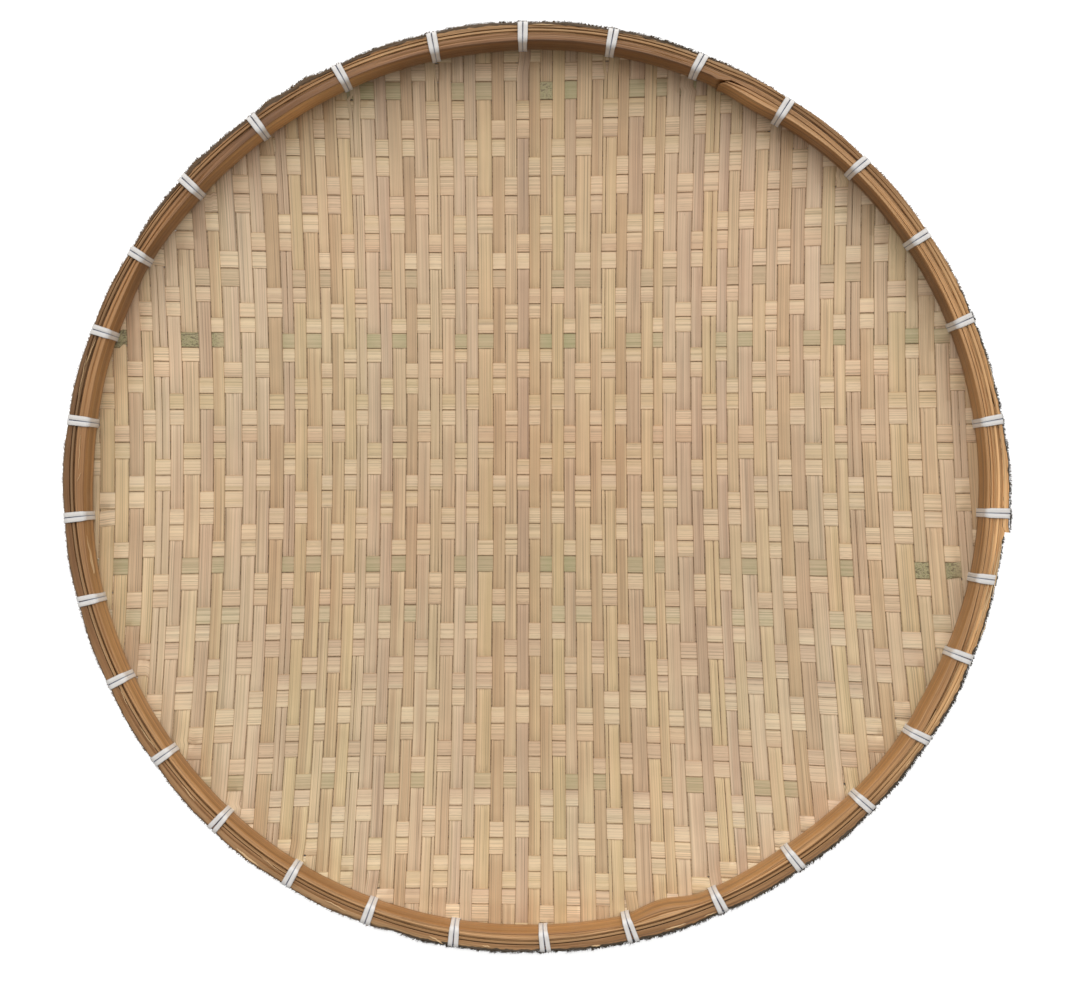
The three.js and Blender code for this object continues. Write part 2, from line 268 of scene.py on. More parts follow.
# Uneven waves: height, longest and shortest sine, and how many sines where they aren't seven
face_waves = (0.22, 60, 5)
ragged_waves = (0.32, 5, 0.4)
fibre_waves = (0.24, 50, 4)
split_waves = (1, 150, 32, 5)
wear_waves = (1, 7, 0.5)
filler_waves = (0.15, 50, 5)
strip_waves = (0.14, 190, 60, 4)
skin_waves = (0.35, 160, 30, 5)
splinter_waves = (0.25, 1.1, 0.3, 4)
fuzz_waves = (0.6, 5, 0.5)

# The outer skin by angle: how dark it is, and how far it reaches over the top. Its darkness is partly dark
# bark and partly painted shadow of the rim, most along the bottom and the right
skin_darkness_and_painted_shadow = [
    (22, 0.9), (30, 0.25), (58, 0.25), (70, 0.9), (112, 0.75), (145, 0.6), (156, 0.3), (246, 0.45),
    (257, 1.0), (382, 0.95),
]
skin_width = [
    (22, 1.4), (30, 0.3), (58, 0.3), (70, 2.2), (100, 1.9), (117, 3.0), (140, 2.6), (160, 1.4),
    (185, 0.9), (240, 0.9), (257, 1.9), (320, 1.7), (340, 1.3), (353, 0.8), (382, 1.0),
]
covered_skin_share = 0.1

# How far down the outer face the darkest skin reaches
skin_fade = 5.0

# The seam beside the inner hoop by angle: how deep the mat's cut ends stand in it
seam_depth = [
    (0, 1.0), (50, 1.0), (57, 0.4), (75, 1.1), (150, 1.3), (260, 1.2), (316, 1.0), (326, 0.4), (350, 0.4),
]

# How far the seam's top leans in from the outer hoop, by angle
seam_lean = [
    (62, 0), (66, 1.2), (74, 0.5), (100, 0.5), (125, 0.3), (137, 0), (165, 0), (180, 1.1), (200, 2.3),
    (220, 2.9), (248, 3.1), (262, 1.6), (270, 1.1), (280, 2.6), (290, 3.0), (300, 2.6), (312, 1.9),
    (320, 1.5), (328, 0),
]

# How far the filler strip gapes from the outer hoop, by angle
filler_gape = [
    (50, 0), (74, 0.4), (100, 0.5), (112, 0.2), (200, 0.2), (245, 0.3), (262, 0.4), (312, 0.3), (324, 0),
]

# How far the mat's cut ends differ in height, and how many are drawn
margin_tabs = (-0.3, 0.5)
margin_tab_count = 230

# Shades of the hoops by angle, where 1 is their plain colour. They are partly the cane's own tone and
# partly painted light and shade, such as the inner face darkened on the far side, where it faces away from
# the lamp
outer_top_tone_and_painted_light = [
    (10, 1.15), (28, 1.02), (40, 0.7), (52, 0.56), (75, 0.78), (95, 0.82), (110, 0.88), (122, 0.6),
    (150, 0.58), (163, 0.34), (185, 0.44), (200, 0.58), (220, 0.68), (240, 0.7), (262, 0.76),
    (300, 0.68), (318, 0.74), (332, 1.25), (350, 1.4), (359, 1.38),
]
inner_top_tone_and_painted_light = [
    (0, 1.15), (12, 1.0), (26, 1.15), (42, 1.05), (55, 0.95), (80, 0.58), (110, 0.56), (128, 0.36),
    (148, 0.83), (165, 0.84), (180, 0.64), (200, 0.78), (217, 1.12), (240, 1.0), (262, 0.95),
    (270, 0.84), (285, 0.95), (300, 1.1), (320, 0.88), (337, 0.8),
]
inner_face_tone_and_painted_light = [
    (0, 0.88), (10, 1.15), (24, 0.52), (42, 0.6), (57, 0.72), (62, 1.0), (67, 0.62), (90, 0.38),
    (106, 0.57), (122, 1.4), (136, 0.85), (150, 0.57), (165, 0.95), (182, 0.78), (200, 1.02),
    (220, 0.82), (240, 0.74), (262, 0.84), (300, 1.0), (335, 0.84),
]

# Torn fibres and slivers on the rim: from and to which angle, middle radius, width, and lean outwards
splinters = [
    (230.9, 234.3, 293.0, 1.1, 0.5), (257.0, 258.8, 291.8, 0.8, 3.2), (184.9, 191.3, 281.0, 1.1, 0.2),
    (340.8, 347.2, 291.0, 0.7, 0.9), (342.6, 353.2, 292.4, 0.9, 1.2), (344.4, 352.4, 290.3, 0.6, 0.9),
    (346.2, 353.6, 293.8, 0.7, -0.5), (341.0, 343.2, 294.6, 0.5, 1.0), (161.2, 164.6, 289.6, 0.5, 1.4),
    (163.4, 168.8, 290.6, 0.4, -1.0), (263.6, 264.6, 291.6, 0.8, 0.1), (277.0, 278.1, 292.9, 0.8, 0.2),
    (286.3, 288.9, 292.0, 0.8, 0.5), (291.3, 292.8, 291.9, 0.5, 0.2), (322.5, 323.7, 291.8, 0.6, -0.2),
    (243.4, 246.4, 290.4, 0.6, 1.2), (166.8, 170.9, 281.2, 0.4, 0.3), (172.9, 176.8, 281.2, 0.4, 0.2),
    (173.4, 177.8, 284.6, 0.4, -0.6), (178.2, 179.3, 284.0, 0.35, 2.6), (185.4, 190.2, 281.6, 0.5, 0.2),
    (12.6, 16.0, 294.0, 0.5, 0.4), (206.4, 208.6, 288.6, 0.4, 0.8), (211.6, 215.0, 288.5, 0.5, -0.7),
    (220.6, 223.2, 288.9, 0.5, 0.6), (87.4, 90.2, 292.4, 0.7, 0.2), (234.0, 236.9, 288.0, 0.4, 0.6),
]

# A splinter on the rim's top: its cuts and bevel, how blunt its ends are, its level, height and sway
splinter_cuts = 13
splinter_edge = 0.3
splinter_blunt = 0.02
splinter_lift = 0.3
splinter_height = 0.6
splinter_sway_up = 0.15

# A splinter whose middle radius is under this lies on the inner face, at this level and this far in
face_splinter_reach = 282
face_splinter_level = 21.5
face_splinter_shift = 0.5
face_splinter_height = 5.5
face_splinter_width = 0.5
face_splinter_sway = 0.3

# How far each tie's outer end and inner end lie to the left, seen from outside, in the ties' order
tie_leans = [
    (0.6, -0.6), (0, -0.3), (-0.3, -2.2), (0.3, -0.6), (-0.3, -1.5), (0.9, 0), (-0.3, -2.4), (2.0, 0.3),
    (1.8, 0.3), (0.6, 0.3), (1.8, 0.9), (-0.6, -0.9), (-0.6, -0.3), (-1.2, -1.5), (-1.5, -0.9),
    (0.3, -0.3), (-1.2, -1.5), (0.3, -0.3), (1.2, 1.5), (1.5, 1.8), (0, 0), (0, -1.2), (-1.2, -0.6),
    (-1.2, -0.6), (-0.6, -0.3), (-1.8, 0.3), (-1.8, -1.8), (-2.4, -1.0), (-1.5, -1.2), (-0.9, -1.5),
    (0, -0.6), (0.3, -0.3),
]

# Ties whose two turns stand apart at their outer ends
spread_ties = {6: 0.5, 7: 1.0, 8: 0.5, 9: 0.3, 12: 0.6, 21: 0.2, 25: 0.2}

# Weathered dark fibres that stand out from the outer edge; the blackest, along the bottom and the right,
# are partly painted shadow of the rim
fuzz_count = 9500
fuzz_length = 2.3
fuzz_width = 0.22
fuzz_slant = 0.6
fuzz_bunching = 0.75
fuzz_shortest = 0.4
fuzz_pale_share = 0.55
fuzz_swing = 1.2
fuzz_rise = (-0.3, 0.25)
fuzz_depth = (0.4, 2.5)

# They start from this share of the face's fall, and at a tie from this much further out
fuzz_fall_share = 0.85
fuzz_tie_lift = 0.6

# This share of them is gathered at the ties, this far to either side in degrees: dark tufts at the ties'
# outer ends, partly painted shadow of the straps
fuzz_at_ties = 0.12
fuzz_tuft = 0.55

# Painted light and shade on the mat change across the tray from this far before its middle to this far past
# it, in metres
tray_reach = 0.3

# Studio, in metres: light from all round, a wide lamp on the far side, the floor, which glows white
# outside the tray's own shade, and the camera above the tray
sky_light = 0.4
lamp_width = 84
lamp_strength = 2.75
lamp_place = (0.05, 1.0, 0.92)
floor_size = 6
floor_glow = 0.8
under_tray = 0.285
camera_place = (0.0016, -0.0032, 1.2)
camera_sensor = 36
camera_lens = 62.2


# Modelling

def choose(*pieces):
    """Selects these pieces alone. The last one becomes the active one."""
    bpy.ops.object.select_all(action="DESELECT")
    for piece in pieces:
        piece.select_set(True)
        bpy.context.view_layer.objects.active = piece


def edit(piece):
    choose(piece)
    bpy.ops.object.mode_set(mode="EDIT")


def leave_edit():
    bpy.ops.object.mode_set(mode="OBJECT")


def pick(piece, kind, wanted):
    """Selects the vertices, edges or faces that pass the test. The piece is in edit mode."""
    bpy.ops.mesh.select_mode(type=kind)
    bpy.ops.mesh.select_all(action="DESELECT")
    cage = bmesh.from_edit_mesh(piece.data)
    parts = {"VERT": cage.verts, "EDGE": cage.edges, "FACE": cage.faces}[kind]
    for part in parts:
        part.select_set(bool(wanted(part)))
    bmesh.update_edit_mesh(piece.data)


def runs(edge, axis):
    """Whether an edge runs mostly along an axis."""
    steps = [abs(step) for step in edge.verts[1].co - edge.verts[0].co]
    return steps.pop(axis) > max(steps)


def shape_in_place():
    """Moves the place and size of the new primitive into its mesh."""
    bpy.ops.object.transform_apply(location=True, rotation=True, scale=True)
    return bpy.context.active_object


def add_bar(name, length, width, height):
    """A straight strip along X from the origin. Its back lies at y = 0 and its middle at z = 0."""
    choose()
    bpy.ops.mesh.primitive_cube_add(
        size=1, location=(length / 2, width / 2, 0), scale=(length, width, height)
    )
    bar = shape_in_place()
    bar.name = name
    bar.data.name = name
    return bar


def cut_along(bar, *cuts):
    """Cuts the bar into equal lengths, each cut number dividing the lengths made before it."""
    for count in cuts:
        pick(bar, "EDGE", lambda edge: runs(edge, X))
        bpy.ops.mesh.subdivide(number_cuts=count)


def ease_top(bar, offset):
    """Bevels the long edges of the bar's upper side."""
    pick(bar, "EDGE", lambda edge: runs(edge, X) and edge.verts[0].co.z > 0)
    bpy.ops.mesh.bevel(offset=offset * MM, segments=1, affect="EDGES")


def points_of(piece):
    flat = np.empty(len(piece.data.vertices) * 3)
    piece.data.vertices.foreach_get("co", flat)
    return flat.reshape(-1, 3)


def set_points(piece, points):
    piece.data.vertices.foreach_set("co", points.ravel())
    piece.data.update()


def keep_values(piece, **kept):
    """Keeps a number or a vector at each point of a piece, by name, for its material."""
    for name, values in kept.items():
        if np.ndim(values) == 0:
            values = np.full(len(piece.data.vertices), values)
        kind, field = ("FLOAT_VECTOR", "vector") if np.ndim(values) > 1 else ("FLOAT", "value")
        attribute = piece.data.attributes.new(name, kind, "POINT")
        attribute.data.foreach_set(field, np.asarray(values, np.float32).ravel())


def copy_of(master, name):
    copy = bpy.data.objects.new(name, master.data.copy())
    copy.data.name = name
    bpy.context.scene.collection.objects.link(copy)
    return copy


def join(first, *others):
    choose(*others, first)
    bpy.ops.object.join()


def face_outwards(piece):
    edit(piece)
    bpy.ops.mesh.select_all(action="SELECT")
    bpy.ops.mesh.normals_make_consistent(inside=False)
    leave_edit()


def round_off(piece, limit):
    """Faces outwards, with smooth shading but for edges sharper than the limit."""
    face_outwards(piece)
    choose(piece)
    bpy.ops.object.shade_smooth_by_angle(angle=math.radians(limit))


def seat(piece, material, slot, *nodes):
    """The piece takes its finish and stands for CAD nodes, which are hidden. The slot is not used."""
    piece.data.materials.append(material)
    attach(piece, "root")
    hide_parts(*nodes)


def smooth(value):
    value = np.clip(value, 0, 1)
    return value * value * (3 - 2 * value)


def waves(places, seed, height, longest, shortest, count=7):
    """An uneven wave of about this height either way, from a few sines of seeded lengths."""
    draw = random.Random(seed)
    total = np.zeros_like(np.asarray(places, float))
    for step in range(count):
        length = longest * (shortest / longest) ** (step / (count - 1))
        total += np.sin(2 * math.pi * (places / length + draw.random())) * draw.uniform(0.5, 1)
    usual_peak = 0.6 * count
    return height * (total / usual_peak)


# The rim's law, as the hoops were bent

spacings = [spacing for count, spacing in tie_stretches for _ in range(count)]
tie_angles = first_tie - np.cumsum([0, *spacings])


def hump(angle, middle, reach, height):
    """A rise round an angle, like one wave, which ends at its reach on both sides."""
    away = np.abs((np.asarray(angle) - middle + 180) % 360 - 180)
    return height * (1 + np.cos(np.pi * np.minimum(away / reach, 1))) / 2


def rim_points(radius, angle, level):
    """Places in metres of mean radii, angles and levels."""
    turned = np.radians(angle)
    radius = radius + hump(angle, *stand_out)
    x = ring_centre[0] + (radius + ovality) * np.cos(turned)
    y = ring_centre[1] + (radius - ovality) * np.sin(turned)
    return np.stack([x, y, np.broadcast_to(level, np.shape(x))], axis=-1) * MM


def between_ties(angle):
    """0 at a tie and 1 midway between two."""
    gaps = (np.asarray(angle)[..., None] - tie_angles) % 360
    before = gaps.min(axis=-1)
    after = 360 - gaps.max(axis=-1)
    return np.sin(np.pi * before / (before + after))


def by_angle(table, angle):
    """The value of a table at angles, where the table's own angles run once round or less."""
    places, values = zip(*table)
    turned = (np.asarray(angle) - places[0]) % 360 + places[0]
    return np.interp(turned, (*places, places[0] + 360), (*values, values[0]))


def hoop_angle(hoop, along):
    """Angle of a place counted in degrees along a hoop, from its covered end to its covering tip."""
    return hoop["tip"] + hoop["run"] * (360 + hoop["lap"] - along)


def hoop_along(hoop, angle):
    """Where along a hoop an angle is. In the lap that is its outermost place."""
    return 360 + hoop["lap"] - (hoop["run"] * (angle - hoop["tip"])) % 360


def notch(hoop, along):
    """The slanted cut that a covering tip meets: 0 before it and 1 after it."""
    return smooth((along - hoop["lap"] - hoop["past_tip"] + notch_slant) / notch_slant)


def covered_thickness(hoop, along):
    """Thickness of a hoop's covered end, in degrees from that end."""
    if hoop is outer_hoop:
        floor = covered_tip + (outer_covered_floor - covered_tip) * np.clip(along / hoop["lap"], 0, 1)
        return floor + (hoop["thickness"] - outer_covered_floor) * notch(hoop, along)
    fill = (hoop["thickness"] - covered_full) * notch(hoop, along)
    return covered_tip + (covered_full - covered_tip) * smooth(along / cover_skive) + fill


def covering_thickness(hoop, over):
    """Thickness of the end that lies over the other, in degrees past the full turn."""
    if hoop is outer_hoop:
        let_in = (hoop["thickness"] - outer_covered_floor) * np.clip(over / hoop["lap"], 0, 1)
        return hoop["thickness"] + let_in * (1 - notch(hoop, over))
    skived = hoop["thickness"] + (cover_thickness - hoop["thickness"]) * smooth(over / cover_skive)
    tapered = skived * (tip_end_share + (1 - tip_end_share) * smooth((hoop["lap"] - over) / tip_taper))
    rise = smooth((over - hoop["lap"] + tip_rise) / tip_rise) * (1 - notch(hoop, over))
    return tapered + (hoop["thickness"] - covered_full) * rise


def hoop_full(hoop, along):
    covered = covered_thickness(hoop, along)
    return np.where(along > 360, covering_thickness(hoop, along - 360), covered)


def hoop_lift(hoop, along):
    """How far the hoop's back is lifted off its face, by the covered end that it lies over."""
    over = covered_thickness(hoop, np.minimum(along - 360, hoop["lap"])) + clearance
    climb = (covered_tip + clearance) * smooth((along - 360 + lap_ease) / lap_ease)
    return np.where(along > 360, over, climb)


def hoop_proud(hoop, along):
    """How far the round face stands out beyond the hoop's thickness."""
    angle = hoop_angle(hoop, along)
    if hoop is outer_hoop:
        return outer_hoop_bow * between_ties(angle) + sum(hump(angle, *place) for place in outer_swellings)
    lump = np.where(along > 360, hump(angle, *tip_lump), 0)
    return lump + sum(hump(angle, *place) for place in inner_swellings)


# Mat

mat_numbers = np.arange(-mat_half, mat_half + 1)


def uneven(seed, most):
    """How far each column or row lies out of its place."""
    draw = random.Random(seed)
    return [draw.uniform(-most, most) for _ in mat_numbers]


column_jitter = uneven(11, column_unevenness)
row_jitter = uneven(23, row_unevenness)


def weave_places(column, row):
    """Places on the mat, in millimetres, of places counted in columns and rows."""
    x = np.interp(column, *zip(*column_places)) + np.interp(column, mat_numbers, column_jitter)
    y = np.interp(row, *zip(*row_places)) + np.interp(row, mat_numbers, row_jitter)
    waist = waist_middle + waist_slope * x
    fanned_x = x * (1 + column_fan / 2 * (y - waist) ** 2)
    fanned_y = y + row_fan / 2 * (y - row_fan_start) * (x - row_fan_side) ** 2
    return fanned_x, fanned_y


def ring_share(x, y, reach):
    """How far out a place is, where 1 is on the rim's own curve of that mean radius."""
    away_x, away_y = x - ring_centre[0], y - ring_centre[1]
    here = reach + hump(np.degrees(np.arctan2(away_y, away_x)), *stand_out)
    return np.hypot(away_x / (here + ovality), away_y / (here - ovality))


def level_of_dives(place, overs):
    """Level, from -1 under to 1 over, of a strip that lies over the spans given in pitches."""
    levels = [-1.0]
    for start, end in overs:
        for lap in (-period, 0, period):
            into = smooth((place - (start + lap) + dive_ease) / (2 * dive_ease))
            out_of = smooth((place - (end + lap) + dive_ease) / (2 * dive_ease))
            levels.append(2 * (into - out_of) - 1)
    return max(levels)


def weave_master(name, pitch, width, overs):
    """One repeat of a strip of the mat, cut, eased and dived under its neighbours, then arrayed."""
    length, middle = period * pitch * MM, width * MM / 2
    strip = add_bar(name, length, width * MM, strip_thickness * MM)
    edit(strip)
    cut_along(strip, period * steps_per_pitch - 1)
    pick(strip, "FACE", lambda face: abs(face.normal.x) > 0.9)
    bpy.ops.mesh.delete(type="FACE")
    ease_top(strip, strip_edge)
    pick(strip, "EDGE", lambda edge: runs(edge, Y) and edge.calc_length() > middle)
    bpy.ops.mesh.subdivide(number_cuts=1)
    pick(strip, "VERT", lambda vert: abs(vert.co.y - middle) < nearby * MM and vert.co.z > 0)
    bpy.ops.transform.translate(value=(0, 0, strip_crown * MM))
    for step in range(period * steps_per_pitch + 1):
        place = step / steps_per_pitch
        here = place * pitch * MM
        pick(strip, "VERT", lambda vert: abs(vert.co.x - here) < nearby * MM)
        bpy.ops.transform.translate(value=(0, 0, level_of_dives(place, overs) * strip_rise * MM))
    leave_edit()
    repeats = 2 * math.ceil(mat_half / period)
    bpy.ops.object.modifier_add(type="ARRAY")
    array = strip.modifiers[-1]
    array.count = repeats
    array.use_relative_offset = False
    array.use_constant_offset = True
    array.constant_offset_displace = (length, 0, 0)
    array.use_merge_vertices = True
    array.merge_threshold = nearby * MM
    bpy.ops.object.modifier_apply(modifier=array.name)
    points = points_of(strip)
    points[:, X] -= repeats / 2 * length
    set_points(strip, points)
    return strip


def press(x, y, level):
    """Levels of the mat: it is pressed flatter under the inner hoop."""
    under_hoop = smooth((ring_share(x, y, strip_reach) - press_start) / press_ease)
    middle = mat_middle + (pressed_middle - mat_middle) * under_hoop
    return middle + level * (1 + (pressed_share - 1) * under_hoop)


def push_from_ties(x, y, line_x, line_y, upright):
    """Sideways steps of a strip's points where a tie's foot pushes the strip aside."""
    step = np.zeros_like(x)
    foot_radius = inner_hoop_outer - inner_hoop["thickness"] - slit_inset
    for angle in tie_angles:
        turned = math.radians(angle)
        foot_x, foot_y, _ = rim_points(foot_radius, angle, 0) / MM
        inward = -(x - foot_x) * math.cos(turned) - (y - foot_y) * math.sin(turned)
        beside = -(line_x - foot_x) * math.sin(turned) + (line_y - foot_y) * math.cos(turned)
        near = smooth(1 - inward / slit_length) * np.exp(-((beside / slit_reach) ** 2))
        near = near * (inward > -slit_outreach)
        crossing = -math.sin(turned) if upright else math.cos(turned)
        step += np.sign(beside) * slit_push * crossing * abs(crossing) * near
    return step


def cut_at_rim(x, y):
    """Cuts off what of the strip lies outside a place, square to the rim's own curve."""
    outward = Vector((
        (x - ring_centre[0]) / (strip_reach + ovality) ** 2,
        (y - ring_centre[1]) / (strip_reach - ovality) ** 2, 0,
    ))
    bpy.ops.mesh.select_all(action="SELECT")
    bpy.ops.mesh.bisect(
        plane_co=Vector((x, y, 0)) * MM, plane_no=outward.normalized(), use_fill=True,
        clear_outer=True, threshold=1e-6,
    )


def strip_places(across, along, upright):
    """Places on the mat of counts across and along a column, or a row if it isn't upright."""
    return weave_places(across, along) if upright else weave_places(along, across)


def lay_strip(master, name, upright, number, seed, start, end):
    """Copies a master to a share of its column or row, bends it to the mat and cuts it at the rim."""
    straight = points_of(master) / MM
    width = straight[:, Y].max()
    share = start + (end - start) * straight[:, Y] / width
    middle = (start + end) / 2
    if upright:
        phase = (row_step * number - 1) % period
        along = phase + straight[:, X] / row_pitch
        across, centre = number + share, number + middle
    else:
        phase = (column_step * number + 1) % period
        along = phase + straight[:, X] / column_pitch
        across, centre = number + 1 - share, number + 1 - middle
    x, y = strip_places(across, along, upright)
    sway = waves(y if upright else x, seed, *strip_waves)
    sway = sway + push_from_ties(x, y, *strip_places(centre, along, upright), upright)
    x, y = (x + sway, y) if upright else (x, y + sway)
    line = np.linspace(-mat_half, mat_half, 2 * mat_half * line_steps + 1)
    line_x, line_y = strip_places(centre, line, upright)
    inside = np.flatnonzero(ring_share(line_x, line_y, strip_reach) < 1)
    if len(inside) < fewest_pitches * line_steps:
        return None
    strip = copy_of(master, name)
    set_points(strip, np.stack([x, y, press(x, y, straight[:, Z])], axis=1) * MM)
    grain = straight * MM + seed * np.array(grain_step)
    keep_values(strip, grain=grain, across=2 * straight[:, Y] / width - 1)
    edit(strip)
    for place in inside[[0, -1]]:
        cut_at_rim(line_x[place], line_y[place])
    leave_edit()
    return strip


def finish_strip(strip, material, draw, strength=0, speckled_from=0, speckled_to=0):
    """The strip's own shade, which way it leans across the strip, and its green skin if that is up."""
    keep_values(strip, tone=draw.random(), lean=draw.uniform(-1, 1))
    x = points_of(strip)[:, X] / MM
    patches = skin_level + waves(x, 57, *skin_waves)
    middle, reach = (speckled_from + speckled_to) / 2, max((speckled_to - speckled_from) / 2, 1)
    inside = smooth((reach + speckle_ease - np.abs(x - middle)) / (2 * speckle_ease))
    speckle = inside * (strength > 0) * (speckled_to > speckled_from)
    skin = np.clip(np.maximum(strength * patches, speckle_strength * speckle), 0, 1)
    keep_values(strip, speckle=speckle, skin=skin)
    round_off(strip, limit=35)
    seat(strip, material, "mat_bamboo", "woven_floor")


def weave_mat():
    column = weave_master("column_master", row_pitch, column_pitch - column_gap, column_overs)
    row = weave_master("row_master", column_pitch, row_pitch - row_gap, row_overs)
    draw = random.Random(5)
    edge = column_gap / column_pitch / 2
    for number in range(-mat_half, mat_half):
        name = f"column_strip_{number + mat_half + 1:02d}"
        parted = split_columns.get(number, 1)
        strip = lay_strip(column, name, True, number, number + 101, edge, min(parted, 1 - edge))
        if strip is None:
            continue
        if parted < 1:
            other = lay_strip(column, name, True, number, number + 501, parted + split_gap, 1 - edge)
            if other:
                join(strip, other)
        finish_strip(strip, column_bamboo, draw)
    edge = row_gap / row_pitch / 2
    for number in range(-row_half, row_half):
        name = f"row_strip_{number + row_half + 1:02d}"
        strip = lay_strip(row, name, False, number, number + 301, edge, 1 - edge)
        if strip:
            finish_strip(strip, row_bamboo, draw, *skin_rows.get(number, ()))
    bpy.data.objects.remove(column)
    bpy.data.objects.remove(row)


# Rim

def cut_cane(name, hoop, length, height):
    """The straight cane of a hoop, rounded along its edges and cut along the fibres of its top."""
    thickness = hoop["thickness"]
    bar = add_bar(name, length * MM, thickness * MM, height * MM)
    edit(bar)
    cut_along(bar, *hoop["cuts"])
    pick(bar, "EDGE", lambda edge: runs(edge, Z))
    bpy.ops.mesh.subdivide(number_cuts=face_cuts)
    pick(bar, "EDGE", lambda edge: runs(edge, Y) and edge.verts[0].co.z > height * MM / 3)
    bpy.ops.mesh.subdivide(number_cuts=fibres - 1)
    face, top = thickness * MM, height * MM / 2
    for y, z, offset, segments in (
        (face, top, hoop["rounding"], hoop["rounding_steps"]), (0, top, upper_back_rounding, 1),
        (face, -top, lower_rounding, 1), (0, -top, lower_back_rounding, 1),
    ):
        pick(bar, "EDGE", lambda edge: runs(edge, X) and all(
            max(abs(vert.co.y - y), abs(vert.co.z - z)) < nearby * MM for vert in edge.verts
        ))
        bpy.ops.mesh.bevel(offset=offset * MM, segments=segments, affect="EDGES")
    leave_edit()
    return bar


def square_ends(hoop, straight, along, full):
    """Makes the upper rounding a square edge where the hoop is covered, and as it thins to its tip."""
    thickness, rounding = hoop["thickness"], hoop["rounding"]
    half_height = (hoop["top"] - hoop["bottom"]) / 2
    near_top = straight[:, Z] > half_height - rounding - nearby
    on_rounding = near_top & (straight[:, Y] > thickness - rounding + nearby)
    squared = np.where(along > 360, 1 - full / thickness, smooth(hoop["lap"] + 1 - along)) * on_rounding
    straight[:, Z] += (half_height - straight[:, Z]) * squared


def bent_radius(hoop, along, share, level, full, weathered):
    """Mean radius of places given by their share of the thickness and their level from -1 to 1."""
    thin = full / hoop["thickness"]
    fall = hoop_bulge * thin * level**2 * (1 - smooth(hoop["lap"] + 1 - along))
    uneven_face = waves(along, hoop["seed"], *face_waves) * thin
    ragged = waves(along + 2 * level, hoop["seed"] + 7, *ragged_waves) * share * weathered
    standing = full + hoop_proud(hoop, along) - fall + uneven_face + ragged
    return hoop["face"] + hoop["side"] * (hoop_lift(hoop, along) + share * standing)


def split_top(hoop, along, share, level, on_top, weathered):
    """How far a hoop's fibres stand up, less its long split and what is worn off beside its skin."""
    fibre = np.round(share * fibres)
    standing = waves(along + fibre_shift * fibre, hoop["seed"] + 20, *fibre_waves) * np.clip(level, 0, 1)
    opened = smooth(waves(along, hoop["seed"] + 40, *split_waves) + split_opening)
    split = split_depth * opened * (fibre == hoop["split_fibre"]) * on_top
    worn = np.clip(waves(along, hoop["seed"] + 9, *wear_waves), 0, 1) * on_top * share**4 * weathered
    return standing - split - worn


def bend_hoop(name, hoop):
    """A split-cane hoop: its cane, lapped, worn and split along its top, and bent round."""
    lap, height = hoop["lap"], hoop["top"] - hoop["bottom"]
    bar = cut_cane(name, hoop, math.radians(360 + lap) * hoop["face"], height)
    straight = points_of(bar) / MM
    along = np.degrees(straight[:, X] / hoop["face"])
    angle = hoop_angle(hoop, along)
    full = hoop_full(hoop, along)
    if hoop is inner_hoop:
        square_ends(hoop, straight, along, full)
    share = straight[:, Y] / hoop["thickness"]
    level = straight[:, Z] / (height / 2)
    on_top = smooth((level - top_starts) / top_ease)
    weathered = by_angle(skin_darkness_and_painted_shadow, angle) * (hoop is outer_hoop)
    lean = by_angle(seam_lean, angle) * (1 + level) / 2
    radius = bent_radius(hoop, along, share, level, full, weathered) - lean * (1 - share)
    z = straight[:, Z] + split_top(hoop, along, share, level, on_top, weathered)
    if hoop is inner_hoop:
        limit = tip_level + (hoop["top"] - tip_level) * smooth((360 + lap - along) / tip_slant)
        z = -height / 2 + (z + height / 2) * (limit - hoop["bottom"]) / height
    points = rim_points(radius, angle, (hoop["bottom"] + hoop["top"]) / 2 + z)
    set_points(bar, np.clip(points, *solids_box))
    # The shade kept for the finish is partly the cane's own tone by angle and partly painted light and
    # shade
    if hoop is outer_hoop:
        shade = by_angle(outer_top_tone_and_painted_light, angle)
        width = by_angle(skin_width, angle) * np.where(along < lap + 1, covered_skin_share, 1)
        keep_values(
            bar, weathered=weathered, from_skin=(1 - share) * (full + lean) * MM, skin_width=width * MM,
            down_face=np.clip((height / 2 - straight[:, Z]) / skin_fade, 0, 1),
        )
    else:
        shade = by_angle(inner_face_tone_and_painted_light, angle) * (1 - on_top) + by_angle(inner_top_tone_and_painted_light, angle) * on_top
    keep_values(bar, grain=straight * MM, on_top=on_top, shade=shade)
    round_off(bar, limit=50)
    return bar


def bend_flat(name, inner, thickness, bottom, top, start, top_cut, gape):
    """A thin upright strip between the hoops, cut down along its top and gaping outside by angle."""
    height = top - bottom
    bar = add_bar(name, math.radians(flat_turn) * inner * MM, thickness * MM, height * MM)
    edit(bar)
    cut_along(bar, *flat_cuts)
    ease_top(bar, thickness * flat_edge_share)
    leave_edit()
    straight = points_of(bar) / MM
    angle = start + np.degrees(straight[:, X] / inner)
    raised = np.clip(straight[:, Z] / (height / 2), 0, 1)
    radius = inner + straight[:, Y] * (1 - raised * by_angle(gape, angle) / thickness)
    radius = radius - by_angle(seam_lean, angle) * raised
    level = (bottom + top) / 2 + straight[:, Z] - raised * top_cut(angle)
    set_points(bar, rim_points(radius, angle, level))
    # Its shade by angle is partly its own tone and partly painted light and shade
    keep_values(bar, grain=straight * MM, on_top=raised, shade=by_angle(outer_top_tone_and_painted_light, angle))
    round_off(bar, limit=40)
    return bar


def filler_cut(angle):
    """How far down the filler's top is cut."""
    return filler_waves[0] + waves(angle, 14, *filler_waves)


def margin_cut(angle):
    """How far down the mat's turned-up ends are cut, each one a little differently."""
    draw = random.Random(31)
    tabs = np.array([draw.uniform(*margin_tabs) for _ in range(margin_tab_count)])
    return by_angle(seam_depth, angle) + tabs[(angle % 360 / 360 * (margin_tab_count - 1)).astype(int)]


